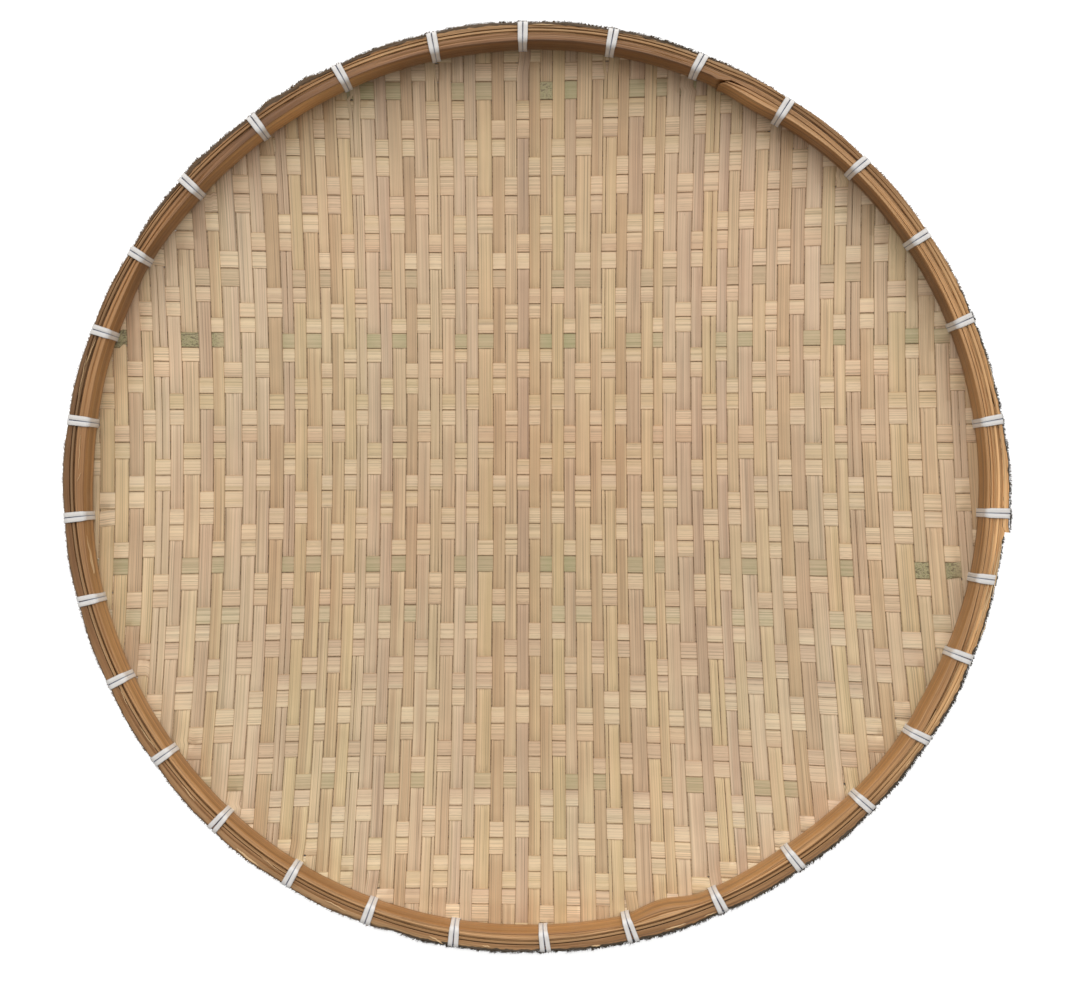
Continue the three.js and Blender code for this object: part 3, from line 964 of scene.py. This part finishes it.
def make_rim():
    inner = bend_hoop("inner_hoop_cane", inner_hoop)
    seat(inner, inner_cane, "inner_hoop_bamboo", "inner_hoop")
    outer = bend_hoop("outer_hoop_cane", outer_hoop)
    seat(outer, outer_cane, "outer_hoop_bamboo", "outer_hoop")
    filler = bend_flat(
        "filler_cane", filler_inner, filler_thickness, mat_underside, filler_top, filler_start,
        filler_cut, filler_gape,
    )
    seat(filler, filler_cane, "filler_bamboo", "filler_strip")
    margin = bend_flat(
        "mat_margin_ends", margin_inner, margin_thickness, rim_bottom, rim_top, margin_start,
        margin_cut, [(0, 0)],
    )
    seat(margin, margin_cane, "mat_edge_bamboo", "mat_margin")


def raise_splinters():
    """Slivers and torn fibres that lie on the rim, each a thin bar drawn out to two points."""
    master = add_bar("splinter_master", MM, MM, MM)
    edit(master)
    cut_along(master, splinter_cuts)
    ease_top(master, splinter_edge)
    leave_edit()
    straight = points_of(master) / MM
    share, across, up = straight.T
    slender = np.sin(np.pi * np.clip(share, splinter_blunt, 1 - splinter_blunt)) ** 0.5
    torn = []
    for number, (start, end, inner, width, lean) in enumerate(splinters):
        sway = waves(share, number + 70, *splinter_waves)
        if inner < face_splinter_reach:
            radius = inner + face_splinter_shift + face_splinter_sway * sway
            radius = radius + (across - 0.5) * face_splinter_width
            level = face_splinter_level + (up * slender + sway) * face_splinter_height * width
        else:
            radius = inner + lean * (share - 0.5) + sway + (across - 0.5) * width * slender
            level = rim_top + splinter_lift + up * splinter_height * slender + splinter_sway_up * sway
        piece = copy_of(master, f"splinter_{number}")
        set_points(piece, rim_points(radius, start + (end - start) * share, level))
        sizes = np.array([math.radians(end - start) * inner, width, 1]) * MM
        keep_values(piece, grain=straight * sizes, on_top=1, shade=1)
        torn.append(piece)
    join(*torn)
    bpy.data.objects.remove(master)
    torn[0].name = "rim_splinters"
    round_off(torn[0], limit=50)
    seat(torn[0], splinter_cane, "outer_hoop_bamboo", "outer_hoop")


def raise_fuzz():
    """Fine dark fibres along the weathered outer edge, each a thin three-sided spike; the blackest are
    partly painted shadow of the rim and of the ties.
    """
    choose()
    bpy.ops.mesh.primitive_cone_add(
        vertices=3, radius1=fuzz_width * MM, radius2=0, depth=MM, location=(0, 0, MM / 2)
    )
    spike = shape_in_place()
    straight = points_of(spike) / MM
    sides = np.array([face.vertices[:] for face in spike.data.polygons])
    bpy.data.objects.remove(spike)
    draw = random.Random(77)
    points, faces, grain, weathered = [], [], [], []
    while len(points) < fuzz_count:
        at_tie = draw.random() < fuzz_at_ties
        if at_tie:
            angle = draw.choice(tie_angles) + draw.uniform(-fuzz_tuft, fuzz_tuft)
        else:
            angle = draw.uniform(0, 360)
        darkness = by_angle(skin_darkness_and_painted_shadow, angle)
        if draw.random() > (darkness**3 if at_tie else darkness):
            continue
        along = hoop_along(outer_hoop, angle)
        face = outer_hoop_inner + hoop_lift(outer_hoop, along) + hoop_full(outer_hoop, along)
        face = face + hoop_proud(outer_hoop, along) - fuzz_fall_share * hoop_bulge + fuzz_tie_lift * at_tie
        clump = fuzz_bunching + waves(angle, 91, *fuzz_waves)
        length = fuzz_length * draw.uniform(fuzz_shortest, 1) * clump
        length = length * (fuzz_pale_share + (1 - fuzz_pale_share) * darkness)
        swing, rise = draw.uniform(-fuzz_swing, fuzz_swing), draw.uniform(*fuzz_rise)
        out = straight[:, Z] * length
        radius = face + out + straight[:, X] * fuzz_slant
        turned = angle + (out * swing + straight[:, X]) / math.radians(face)
        level = rim_top - draw.uniform(*fuzz_depth) + straight[:, Y] + out * rise
        faces.append(sides + len(straight) * len(points))
        points.append(rim_points(radius, turned, level))
        grain.append(straight * MM + np.array([angle, 0, 0]))
        weathered.append(darkness)
    mesh = bpy.data.meshes.new("rim_fuzz")
    points = np.clip(np.concatenate(points), *solids_box)
    mesh.from_pydata(points.tolist(), [], np.concatenate(faces).tolist())
    fuzz = bpy.data.objects.new("rim_fuzz", mesh)
    bpy.context.scene.collection.objects.link(fuzz)
    keep_values(fuzz, grain=np.concatenate(grain), weathered=np.repeat(weathered, len(straight)))
    face_outwards(fuzz)
    seat(fuzz, fuzz_fibre, "outer_hoop_bamboo", "outer_hoop")


# Ties

def hoop_face(hoop, angle, half_span):
    """The round face as a tie meets it: its radius at a level, and its middle level."""
    seen = hoop_along(hoop, angle + np.array([-half_span, 0, half_span]))
    full = hoop_full(hoop, seen)
    side = hoop["side"]
    radius = hoop["face"] + side * (hoop_lift(hoop, seen) + full + hoop_proud(hoop, seen))
    proudest = side * (side * radius).max()
    middle = (hoop["bottom"] + hoop["top"]) / 2
    slope_height = (hoop["top"] - hoop["bottom"]) / 2 - strap_edge_margin
    steepness = (hoop_bulge * full / hoop["thickness"]).min() / slope_height
    return lambda level: proudest - side * steepness * abs(level - middle), middle


def strap_route(angle, leans):
    """Radius and level of the strap's middle line through both its turns."""
    half_span = math.degrees((strap_width + strap_gap / 2 + max(map(abs, leans))) / inner_hoop_outer)
    inner_at, inner_middle = hoop_face(inner_hoop, angle, half_span)
    outer_at, outer_middle = hoop_face(outer_hoop, angle, half_span)
    off = tie_clearance + strap_thickness / 2
    inner_foot = (inner_at(mat_underside) - off, mat_underside - off)
    outer_foot = (outer_at(mat_underside) + off, mat_underside - off)
    over = [
        (outer_at(outer_middle) + off, outer_middle),
        (outer_at(rim_top) + off, rim_top + off),
        (inner_at(rim_top) - off, rim_top + off),
        (inner_at(inner_middle) - off, inner_middle),
        inner_foot,
    ]
    start = (outer_foot[0] + strap_end_lift, outer_foot[1] + strap_start)
    end = (inner_foot[0] + strap_tuck, inner_foot[1])
    return [start, *over, outer_foot, *over, end]


def rounded_route(corners):
    """The route with each corner rounded, by at most a share of the legs beside it, as points."""
    corners = [np.array(corner, float) for corner in corners]
    line = [corners[0]]
    for before, corner, after in zip(corners, corners[1:], corners[2:]):
        back, ahead = before - corner, after - corner
        back_length, ahead_length = np.linalg.norm(back), np.linalg.norm(ahead)
        reach = min(strap_bend, back_length * strap_bend_share, ahead_length * strap_bend_share)
        back, ahead = back / back_length * reach, ahead / ahead_length * reach
        for share in (0, 0.2, 0.4, 0.6, 0.8, 1):
            line.append(corner + back * (1 - share) ** 2 + ahead * share**2)
    line.append(corners[-1])
    return np.array(line)


def wind_strap(master, angle, name, number):
    strap = copy_of(master, name)
    straight = points_of(strap) / MM
    outer_lean, inner_lean = tie_leans[number - 1]
    line = rounded_route(strap_route(angle, (outer_lean, inner_lean)))
    places = np.cumsum([0, *np.linalg.norm(np.diff(line, axis=0), axis=1)])
    place = straight[:, X] / straight[:, X].max() * places[-1]
    radius = np.interp(place, places, line[:, 0])
    level = np.interp(place, places, line[:, 1])
    heading = np.unwrap(np.arctan2(*np.gradient(line, axis=0).T[::-1]))
    facing = np.interp(place, places, heading)
    spread = random.Random(number).uniform(0, strap_spread) + spread_ties.get(number, 0)
    inner_end, outer_end = radius.min(), radius.max()
    across_rim = (radius - inner_end) / (outer_end - inner_end)
    past_crossing = place - places[-1] * strap_crossing
    which_turn = smooth((past_crossing + strap_crossing_ease) / (2 * strap_crossing_ease)) * 2 - 1
    foot_share = strap_foot_share + (1 - strap_foot_share) * smooth(across_rim / strap_foot_reach)
    gap_share = strap_inner_gap_share + (1 - strap_inner_gap_share) * across_rim
    turn = (strap_width * foot_share + strap_gap * gap_share + spread * across_rim) / 2
    sideways = (straight[:, Y] - strap_width / 2) * foot_share + turn * which_turn
    sideways = sideways + inner_lean + (outer_lean - inner_lean) * across_rim
    radius = radius - np.sin(facing) * straight[:, Z]
    level = level + np.cos(facing) * straight[:, Z]
    turned = math.radians(angle)
    middle = rim_points(inner_hoop_outer, angle, 0.0)
    away = (radius - inner_hoop_outer) * MM
    x = middle[0] + away * math.cos(turned) - sideways * MM * math.sin(turned)
    y = middle[1] + away * math.sin(turned) + sideways * MM * math.cos(turned)
    set_points(strap, np.stack([x, y, level * MM], axis=1))
    across = 2 * straight[:, Y] / strap_width - 1
    grain = straight * MM + number * np.array(strap_grain_step)
    # The last value marks the side of each turn that faces the other, where the finish paints the shade of
    # the gap between the turns
    keep_values(strap, grain=grain, across=across, facing_edge=-across * np.sign(which_turn))
    round_off(strap, limit=60)
    return strap


def make_ties():
    master = add_bar("strap_master", strap_length * MM, strap_width * MM, strap_thickness * MM)
    edit(master)
    cut_along(master, *strap_cuts)
    pick(master, "EDGE", lambda edge: runs(edge, X))
    bpy.ops.mesh.bevel(offset=strap_rounding * MM, segments=3, affect="EDGES")
    leave_edit()
    for number, angle in enumerate(tie_angles, 1):
        strap = wind_strap(master, angle, f"strap_{number:02d}", number)
        seat(strap, strap_plastic, "tie_strap", f"tie_{number:02d}")
    bpy.data.objects.remove(master)


# Finishes

def colour(red, green, blue):
    """A colour as seen on a screen, from 0 to 255, as the light it stands for."""
    shares = (value / 255 for value in (red, green, blue))
    return tuple(s / 12.92 if s < 0.04045 else ((s + 0.055) / 1.055) ** 2.4 for s in shares)


class Nodes:
    """Short calls for the nodes of a material or of the world."""

    def __init__(self, tree):
        self.tree = tree

    def node(self, kind, **settings):
        node = self.tree.nodes.new(kind)
        for name, value in settings.items():
            setattr(node, name, value)
        return node

    def feed(self, socket, value):
        """Links an output to a socket, or sets a number or a colour on it."""
        if hasattr(value, "is_output"):
            self.tree.links.new(value, socket)
        else:
            socket.default_value = (*value, 1) if isinstance(value, tuple) else value

    def reckon(self, way, value, *others):
        """Sums of one kind, from left to right."""
        for other in others:
            node = self.node("ShaderNodeMath", operation=way)
            self.feed(node.inputs[0], value)
            self.feed(node.inputs[1], other)
            value = node.outputs[0]
        return value

    def seen(self):
        """1 for what the camera or a reflection sees, and 0 for what only lights the tray."""
        path = self.node("ShaderNodeLightPath")
        return self.reckon("MAXIMUM", path.outputs["Is Camera Ray"], path.outputs["Is Glossy Ray"])


class Finish(Nodes):
    """A material."""

    def __init__(self, name, roughness, specular):
        self.material = bpy.data.materials.new(name)
        self.material.use_nodes = True
        super().__init__(self.material.node_tree)
        self.shader = self.tree.nodes["Principled BSDF"]
        self.shader.inputs["Roughness"].default_value = roughness
        self.shader.inputs["Specular IOR Level"].default_value = specular

    def kept(self, name, output="Fac"):
        return self.node("ShaderNodeAttribute", attribute_name=name).outputs[output]

    def place(self):
        return self.node("ShaderNodeTexCoord").outputs["Object"]

    def noise(self, scale, detail, on_strip=True):
        """Noise with features per metre along, across and up the straight strip, or in the tray."""
        mapping = self.node("ShaderNodeMapping")
        mapping.inputs["Scale"].default_value = scale
        self.feed(mapping.inputs["Vector"], self.kept("grain", "Vector") if on_strip else self.place())
        texture = self.node("ShaderNodeTexNoise")
        texture.inputs["Scale"].default_value = 1
        texture.inputs["Detail"].default_value = detail
        self.feed(texture.inputs["Vector"], mapping.outputs["Vector"])
        return texture.outputs["Fac"]

    def across_tray(self, axis):
        """Level of a place from one side of the tray, 0, to the other, 1."""
        parts = self.node("ShaderNodeSeparateXYZ")
        self.feed(parts.inputs[0], self.place())
        reach = self.node("ShaderNodeMapRange")
        self.feed(reach.inputs["Value"], parts.outputs[axis])
        reach.inputs["From Min"].default_value = -tray_reach
        reach.inputs["From Max"].default_value = tray_reach
        return reach.outputs["Result"]

    def ramp(self, value, *stops):
        """Colours or grey levels at places from 0 to 1."""
        node = self.node("ShaderNodeValToRGB")
        ramp = node.color_ramp
        while len(ramp.elements) < len(stops):
            ramp.elements.new(0.5)
        for element, (place, stop) in zip(ramp.elements, stops):
            element.position = place
            element.color = (*stop, 1) if isinstance(stop, tuple) else (stop, stop, stop, 1)
        self.feed(node.inputs["Fac"], value)
        return node.outputs["Color"]

    def shades(self, value, places, shades):
        """Colours as seen on a screen at places from 0 to 1."""
        return self.ramp(value, *zip(places, (colour(*shade) for shade in shades)))

    def mix(self, share, first, second, way="MIX"):
        node = self.node("ShaderNodeMix", data_type="RGBA", blend_type=way)
        self.feed(node.inputs["Factor"], share)
        self.feed(node.inputs[6], first)
        self.feed(node.inputs[7], second)
        return node.outputs[2]

    def times(self, base, *others):
        for other in others:
            base = self.mix(1.0, base, other, "MULTIPLY")
        return base

    def about(self, value, reach):
        """A value round 0.5 as a share that is added, up to the reach either way."""
        return self.reckon("MULTIPLY", self.reckon("SUBTRACT", value, 0.5), 2 * reach)

    def bump(self, height, depth, strength):
        node = self.node("ShaderNodeBump")
        node.inputs["Strength"].default_value = strength
        node.inputs["Distance"].default_value = depth
        self.feed(node.inputs["Height"], height)
        self.feed(self.shader.inputs["Normal"], node.outputs["Normal"])

    def paint(self, value):
        self.feed(self.shader.inputs["Base Color"], value)
        return self.material


def strip_finish(name, shades, band_reach, hue_reach, threads_across, line_stops):
    """Split bamboo: a shade for each strip that leans across it, fibre lines, stains and green skin, with
    painted shade along its edges and painted light and shade across the tray.
    """
    finish = Finish(name, 0.5, 0.3)
    lines = finish.noise((6, 1500, 200), 2)
    bands = finish.noise((4, 300, 100), 1)
    hues = finish.noise((9, 9, 9), 2, on_strip=False)
    stains = finish.noise((45, 45, 45), 3, on_strip=False)
    threads = finish.noise((2.2, threads_across, 200), 1)
    specks = finish.noise((620, 1000, 500), 3)
    leaning = finish.reckon("MULTIPLY", finish.kept("lean"), finish.kept("across"), 0.34)
    shade = finish.reckon("ADD", finish.kept("tone"), leaning, finish.about(bands, band_reach))
    base = finish.shades(shade, (0.0, 0.35, 0.68, 1.0), shades)
    # Painted shade: each strip is darkened along its edges, where the gaps between the strips are, and so
    # is its green skin
    edge = finish.reckon("ABSOLUTE", finish.kept("across"), 0)
    edge = finish.ramp(edge, (0.88, 1.0), (0.99, (0.68, 0.6, 0.53)))
    hue = finish.ramp(hues, (0.35, (1.03, 0.985, 0.97)), (0.65, (0.985, 1.005, 1.0)))
    creases = finish.ramp(threads, (0.486, 1.0), (0.5, 0.76), (0.514, 1.0))
    stained = finish.ramp(stains, (0.3, 0.94), (0.7, 1.03))
    paleness = finish.reckon("ADD", finish.reckon("MULTIPLY", finish.kept("lean"), 0.5), 0.5)
    pale = finish.ramp(paleness, (0.0, (0.99, 1.0, 1 + hue_reach)), (1.0, (1.01, 1.0, 1 - hue_reach)))
    # Painted light and shade across the tray: the mat is made lighter towards the near edge and the sides,
    # darker in the middle, and darker again near the far rim, where its shadow falls
    painted_light_front_to_back = finish.ramp(
        finish.across_tray("Y"), (0.05, (1.15, 1.2, 1.2)), (0.25, (0.99, 1.03, 1.015)),
        (0.48, (0.955, 0.94, 0.915)), (0.7, (1.01, 1.02, 1.01)), (0.82, (1.0, 1.01, 1.0)),
        (0.92, (0.88, 0.89, 0.87)),
    )
    painted_light_left_to_right = finish.ramp(
        finish.across_tray("X"), (0.08, (1.1, 1.13, 1.13)), (0.2, (0.98, 1.005, 1.0)),
        (0.35, (0.97, 0.985, 0.97)), (0.5, (0.955, 0.943, 0.91)), (0.65, (0.98, 0.98, 0.97)),
        (0.8, (1.01, 1.02, 1.03)), (0.92, (1.05, 1.09, 1.09)),
    )
    base = finish.times(
        base, finish.ramp(lines, *line_stops), creases, edge, hue, stained, pale, painted_light_front_to_back,
        painted_light_left_to_right,
    )
    green = finish.mix(finish.ramp(lines, (0.35, 0.0), (0.65, 1.0)), olive_skin, pale_skin)
    speckled = finish.ramp(
        specks, (0.41, olive_speck), (0.47, olive_skin), (0.56, pale_skin), (0.6, olive_speck),
        (0.66, pale_skin),
    )
    green = finish.mix(finish.kept("speckle"), green, speckled)
    base = finish.mix(finish.kept("skin"), base, finish.times(green, edge))
    finish.bump(lines, 0.00014, 0.7)
    return finish.paint(base)


def skin_over(finish, base, lines):
    """Ragged skin over the cane, black or brown along its edge and aged further down its face; the black is
    partly painted shadow.
    """
    ragged = finish.about(finish.noise((160, 420, 160), 4), 0.0016)
    fuzz = finish.noise((420, 900, 300), 3)
    patches = finish.noise((14, 260, 120), 4)
    dark, brown = finish.mix(fuzz, black_skin_and_painted_shadow, skin_brown), finish.mix(fuzz, skin_brown, skin_tan)
    aged = finish.shades(patches, (0.36, 0.5, 0.62), ((86, 72, 46), (128, 107, 70), (150, 128, 86)))
    aged = finish.times(aged, finish.ramp(lines, (0.3, 0.78), (0.5, 1.0), (0.7, 1.1)))
    skin = finish.mix(finish.kept("weathered"), brown, dark)
    skin = finish.mix(finish.kept("down_face"), skin, aged)
    depth = finish.reckon("ADD", finish.kept("from_skin"), ragged)
    return finish.mix(finish.reckon("LESS_THAN", depth, finish.kept("skin_width")), base, skin)


def cane_finish(name, face, top, roughness, skinned=False):
    """Cane of the rim: smooth faces, a fibrous top with dark splits painted as shade in its cracks, its
    tone by angle with painted light and shade, and its skin where it has it.
    """
    finish = Finish(name, roughness, 0.35)
    lines = finish.noise((5, 1300, 1300), 3)
    splits = finish.noise((4, 700, 500), 3)
    bands = finish.noise((3, 300, 160), 2)
    streaks = finish.noise((3.5, 1100, 420), 2)
    stains = finish.noise((28, 28, 28), 3, on_strip=False)
    on_face = finish.times(
        finish.shades(bands, (0.3, 0.5, 0.7), face), finish.ramp(lines, (0.3, 0.9), (0.65, 1.05))
    )
    # On the top: fibre lines, and dark splits whose darkness is painted shade in the cracks
    on_top = finish.times(
        finish.shades(bands, (0.3, 0.5, 0.7), top),
        finish.ramp(lines, (0.3, 0.8), (0.46, 0.97), (0.65, 1.08)),
        finish.ramp(splits, (0.27, 0.5), (0.34, 1.0)),
    )
    base = finish.mix(finish.kept("on_top"), on_face, on_top)
    # The kept shade is partly the cane's own tone and partly painted light and shade; where it is low the
    # colour is also made redder, as painted shade
    base = finish.times(
        base, finish.ramp(streaks, (0.34, 0.6), (0.43, 1.0), (0.58, 1.0), (0.67, 1.32)),
        finish.ramp(stains, (0.3, 0.9), (0.7, 1.05)), finish.kept("shade"),
        finish.mix(finish.kept("shade"), (1.0, 0.76, 0.58), (1.0, 1.0, 1.0)),
    )
    if skinned:
        base = skin_over(finish, base, lines)
    finish.bump(finish.reckon("ADD", lines, splits), 0.0003, 0.7)
    return finish.paint(base)


def fuzz_finish():
    finish = Finish("weathered_fibre", 0.8, 0.2)
    spots = finish.ramp(finish.noise((300, 300, 300), 1), (0.4, 0.0), (0.6, 1.0))
    brown = finish.mix(spots, skin_brown, skin_tan)
    black = finish.mix(spots, black_skin_and_painted_shadow, skin_brown)
    # Fibres go from brown to black where the skin is darkest; the black is partly dark bark and partly
    # painted shadow
    darkness = finish.ramp(finish.kept("weathered"), (0.4, 0.0), (0.95, 1.0))
    return finish.paint(finish.mix(darkness, brown, black))


def strap_finish():
    finish = Finish("strap_plastic", 0.4, 0.45)
    ribs = finish.noise((30, 1500, 60), 1)
    # The ribs are bumped, and their grooves are painted in a greyer white as painted shade
    base = finish.mix(ribs, strap_rib_groove_shade, strap_white)
    # Painted shade: each strap is darkened along its rounded edges
    side = finish.ramp(finish.reckon("ABSOLUTE", finish.kept("across"), 0), (0.6, 1.0), (0.95, 0.72))
    # Painted shade: a blue-grey line along the side of each turn that faces the other, where the gap
    # between the turns is
    blue = finish.ramp(finish.kept("facing_edge"), (0.8, 0.0), (0.96, 1.0))
    base = finish.mix(blue, finish.times(base, side), strap_gap_shade_blue)
    finish.bump(ribs, 0.00012, 0.6)
    return finish.paint(base)


olive_skin = colour(146, 144, 98)
pale_skin = colour(170, 160, 122)
olive_speck = colour(96, 86, 64)
# Black of the skin and fuzz: partly black bark and partly painted shadow of the rim
black_skin_and_painted_shadow = colour(27, 26, 20)
skin_brown = colour(80, 62, 40)
skin_tan = colour(146, 103, 60)
strap_white = colour(226, 222, 217)
# Painted shade in the grooves between a strap's ribs
strap_rib_groove_shade = colour(203, 198, 193)
# Painted shade of the gap between a tie's two turns, in blue-grey
strap_gap_shade_blue = colour(128, 140, 162)

column_bamboo = strip_finish(
    "column_strip_bamboo", ((193, 161, 130), (204, 174, 142), (213, 184, 150), (203, 175, 140)),
    0.8, 0.08, 560, ((0.32, 0.68), (0.43, 0.93), (0.52, 1.0), (0.66, 1.1)),
)
row_bamboo = strip_finish(
    "row_strip_bamboo", ((208, 176, 146), (218, 188, 156), (224, 197, 164), (210, 183, 146)),
    0.45, 0.03, 800, ((0.34, 0.7), (0.45, 0.94), (0.52, 1.0), (0.66, 1.07)),
)
inner_cane = cane_finish(
    "inner_hoop_cane_finish", ((156, 110, 62), (173, 127, 77), (186, 140, 90)),
    ((160, 116, 72), (184, 138, 90), (202, 158, 110)), 0.42,
)
outer_cane = cane_finish(
    "outer_hoop_cane_finish", ((130, 100, 62), (158, 122, 78), (176, 138, 90)),
    ((150, 108, 68), (182, 140, 94), (206, 168, 122)), 0.6, skinned=True,
)
filler_cane = cane_finish(
    "filler_cane_finish", ((150, 108, 66), (176, 134, 88), (196, 154, 106)),
    ((170, 128, 84), (198, 156, 108), (216, 180, 134)), 0.6,
)
margin_cane = cane_finish(
    "margin_cane_finish", ((120, 88, 56), (150, 114, 74), (176, 140, 98)),
    ((130, 96, 60), (160, 124, 82), (190, 154, 110)), 0.7,
)
splinter_cane = cane_finish(
    "splinter_cane_finish", ((190, 150, 104), (210, 174, 128), (224, 194, 150)),
    ((194, 156, 110), (216, 184, 140), (232, 206, 166)), 0.6,
)
strap_plastic = strap_finish()
fuzz_fibre = fuzz_finish()


# Floor, light and camera

def make_floor():
    """A plain floor, which shows white to the camera but for the shade under the tray."""
    choose()
    bpy.ops.mesh.primitive_plane_add(size=floor_size, location=(0, 0, 0))
    floor = bpy.context.active_object
    floor.name = "studio_floor"
    paint = Finish("studio_floor_paint", 0.9, 0.0)
    floor.data.materials.append(paint.paint((0.5, 0.5, 0.5)))
    away = paint.node("ShaderNodeVectorMath", operation="LENGTH")
    paint.feed(away.inputs[0], paint.place())
    outside = paint.reckon("GREATER_THAN", away.outputs["Value"], under_tray)
    glow = paint.reckon("MULTIPLY", paint.seen(), outside, floor_glow)
    paint.feed(paint.shader.inputs["Emission Strength"], glow)
    paint.feed(paint.shader.inputs["Emission Color"], (1, 1, 1))


def make_light():
    """Even light all round and one very large soft lamp from the far side."""
    world = bpy.data.worlds.new("studio_world")
    bpy.context.scene.world = world
    world.use_nodes = True
    sky = Nodes(world.node_tree)
    background = sky.tree.nodes["Background"]
    sky.feed(background.inputs["Color"], (1, 1, 1))
    strength = sky.node("ShaderNodeMapRange")
    strength.inputs["To Min"].default_value = sky_light
    sky.feed(strength.inputs["Value"], sky.seen())
    sky.feed(background.inputs["Strength"], strength.outputs["Result"])
    lamp = bpy.data.lights.new("soft_lamp", "SUN")
    lamp.angle = math.radians(lamp_width)
    lamp.energy = lamp_strength
    holder = bpy.data.objects.new("soft_lamp", lamp)
    bpy.context.scene.collection.objects.link(holder)
    holder.location = lamp_place
    holder.rotation_euler = (-Vector(lamp_place)).to_track_quat("-Z", "Y").to_euler()


def make_camera():
    lens = bpy.data.cameras.new("photo_camera")
    lens.sensor_fit = "HORIZONTAL"
    lens.sensor_width = camera_sensor
    lens.lens = camera_lens
    camera = bpy.data.objects.new("photo_camera", lens)
    bpy.context.scene.collection.objects.link(camera)
    camera.location = camera_place
    bpy.context.scene.camera = camera


weave_mat()
make_rim()
raise_splinters()
raise_fuzz()
make_ties()
make_floor()
make_light()
make_camera()

scene = bpy.context.scene
scene.view_settings.view_transform = "Standard"
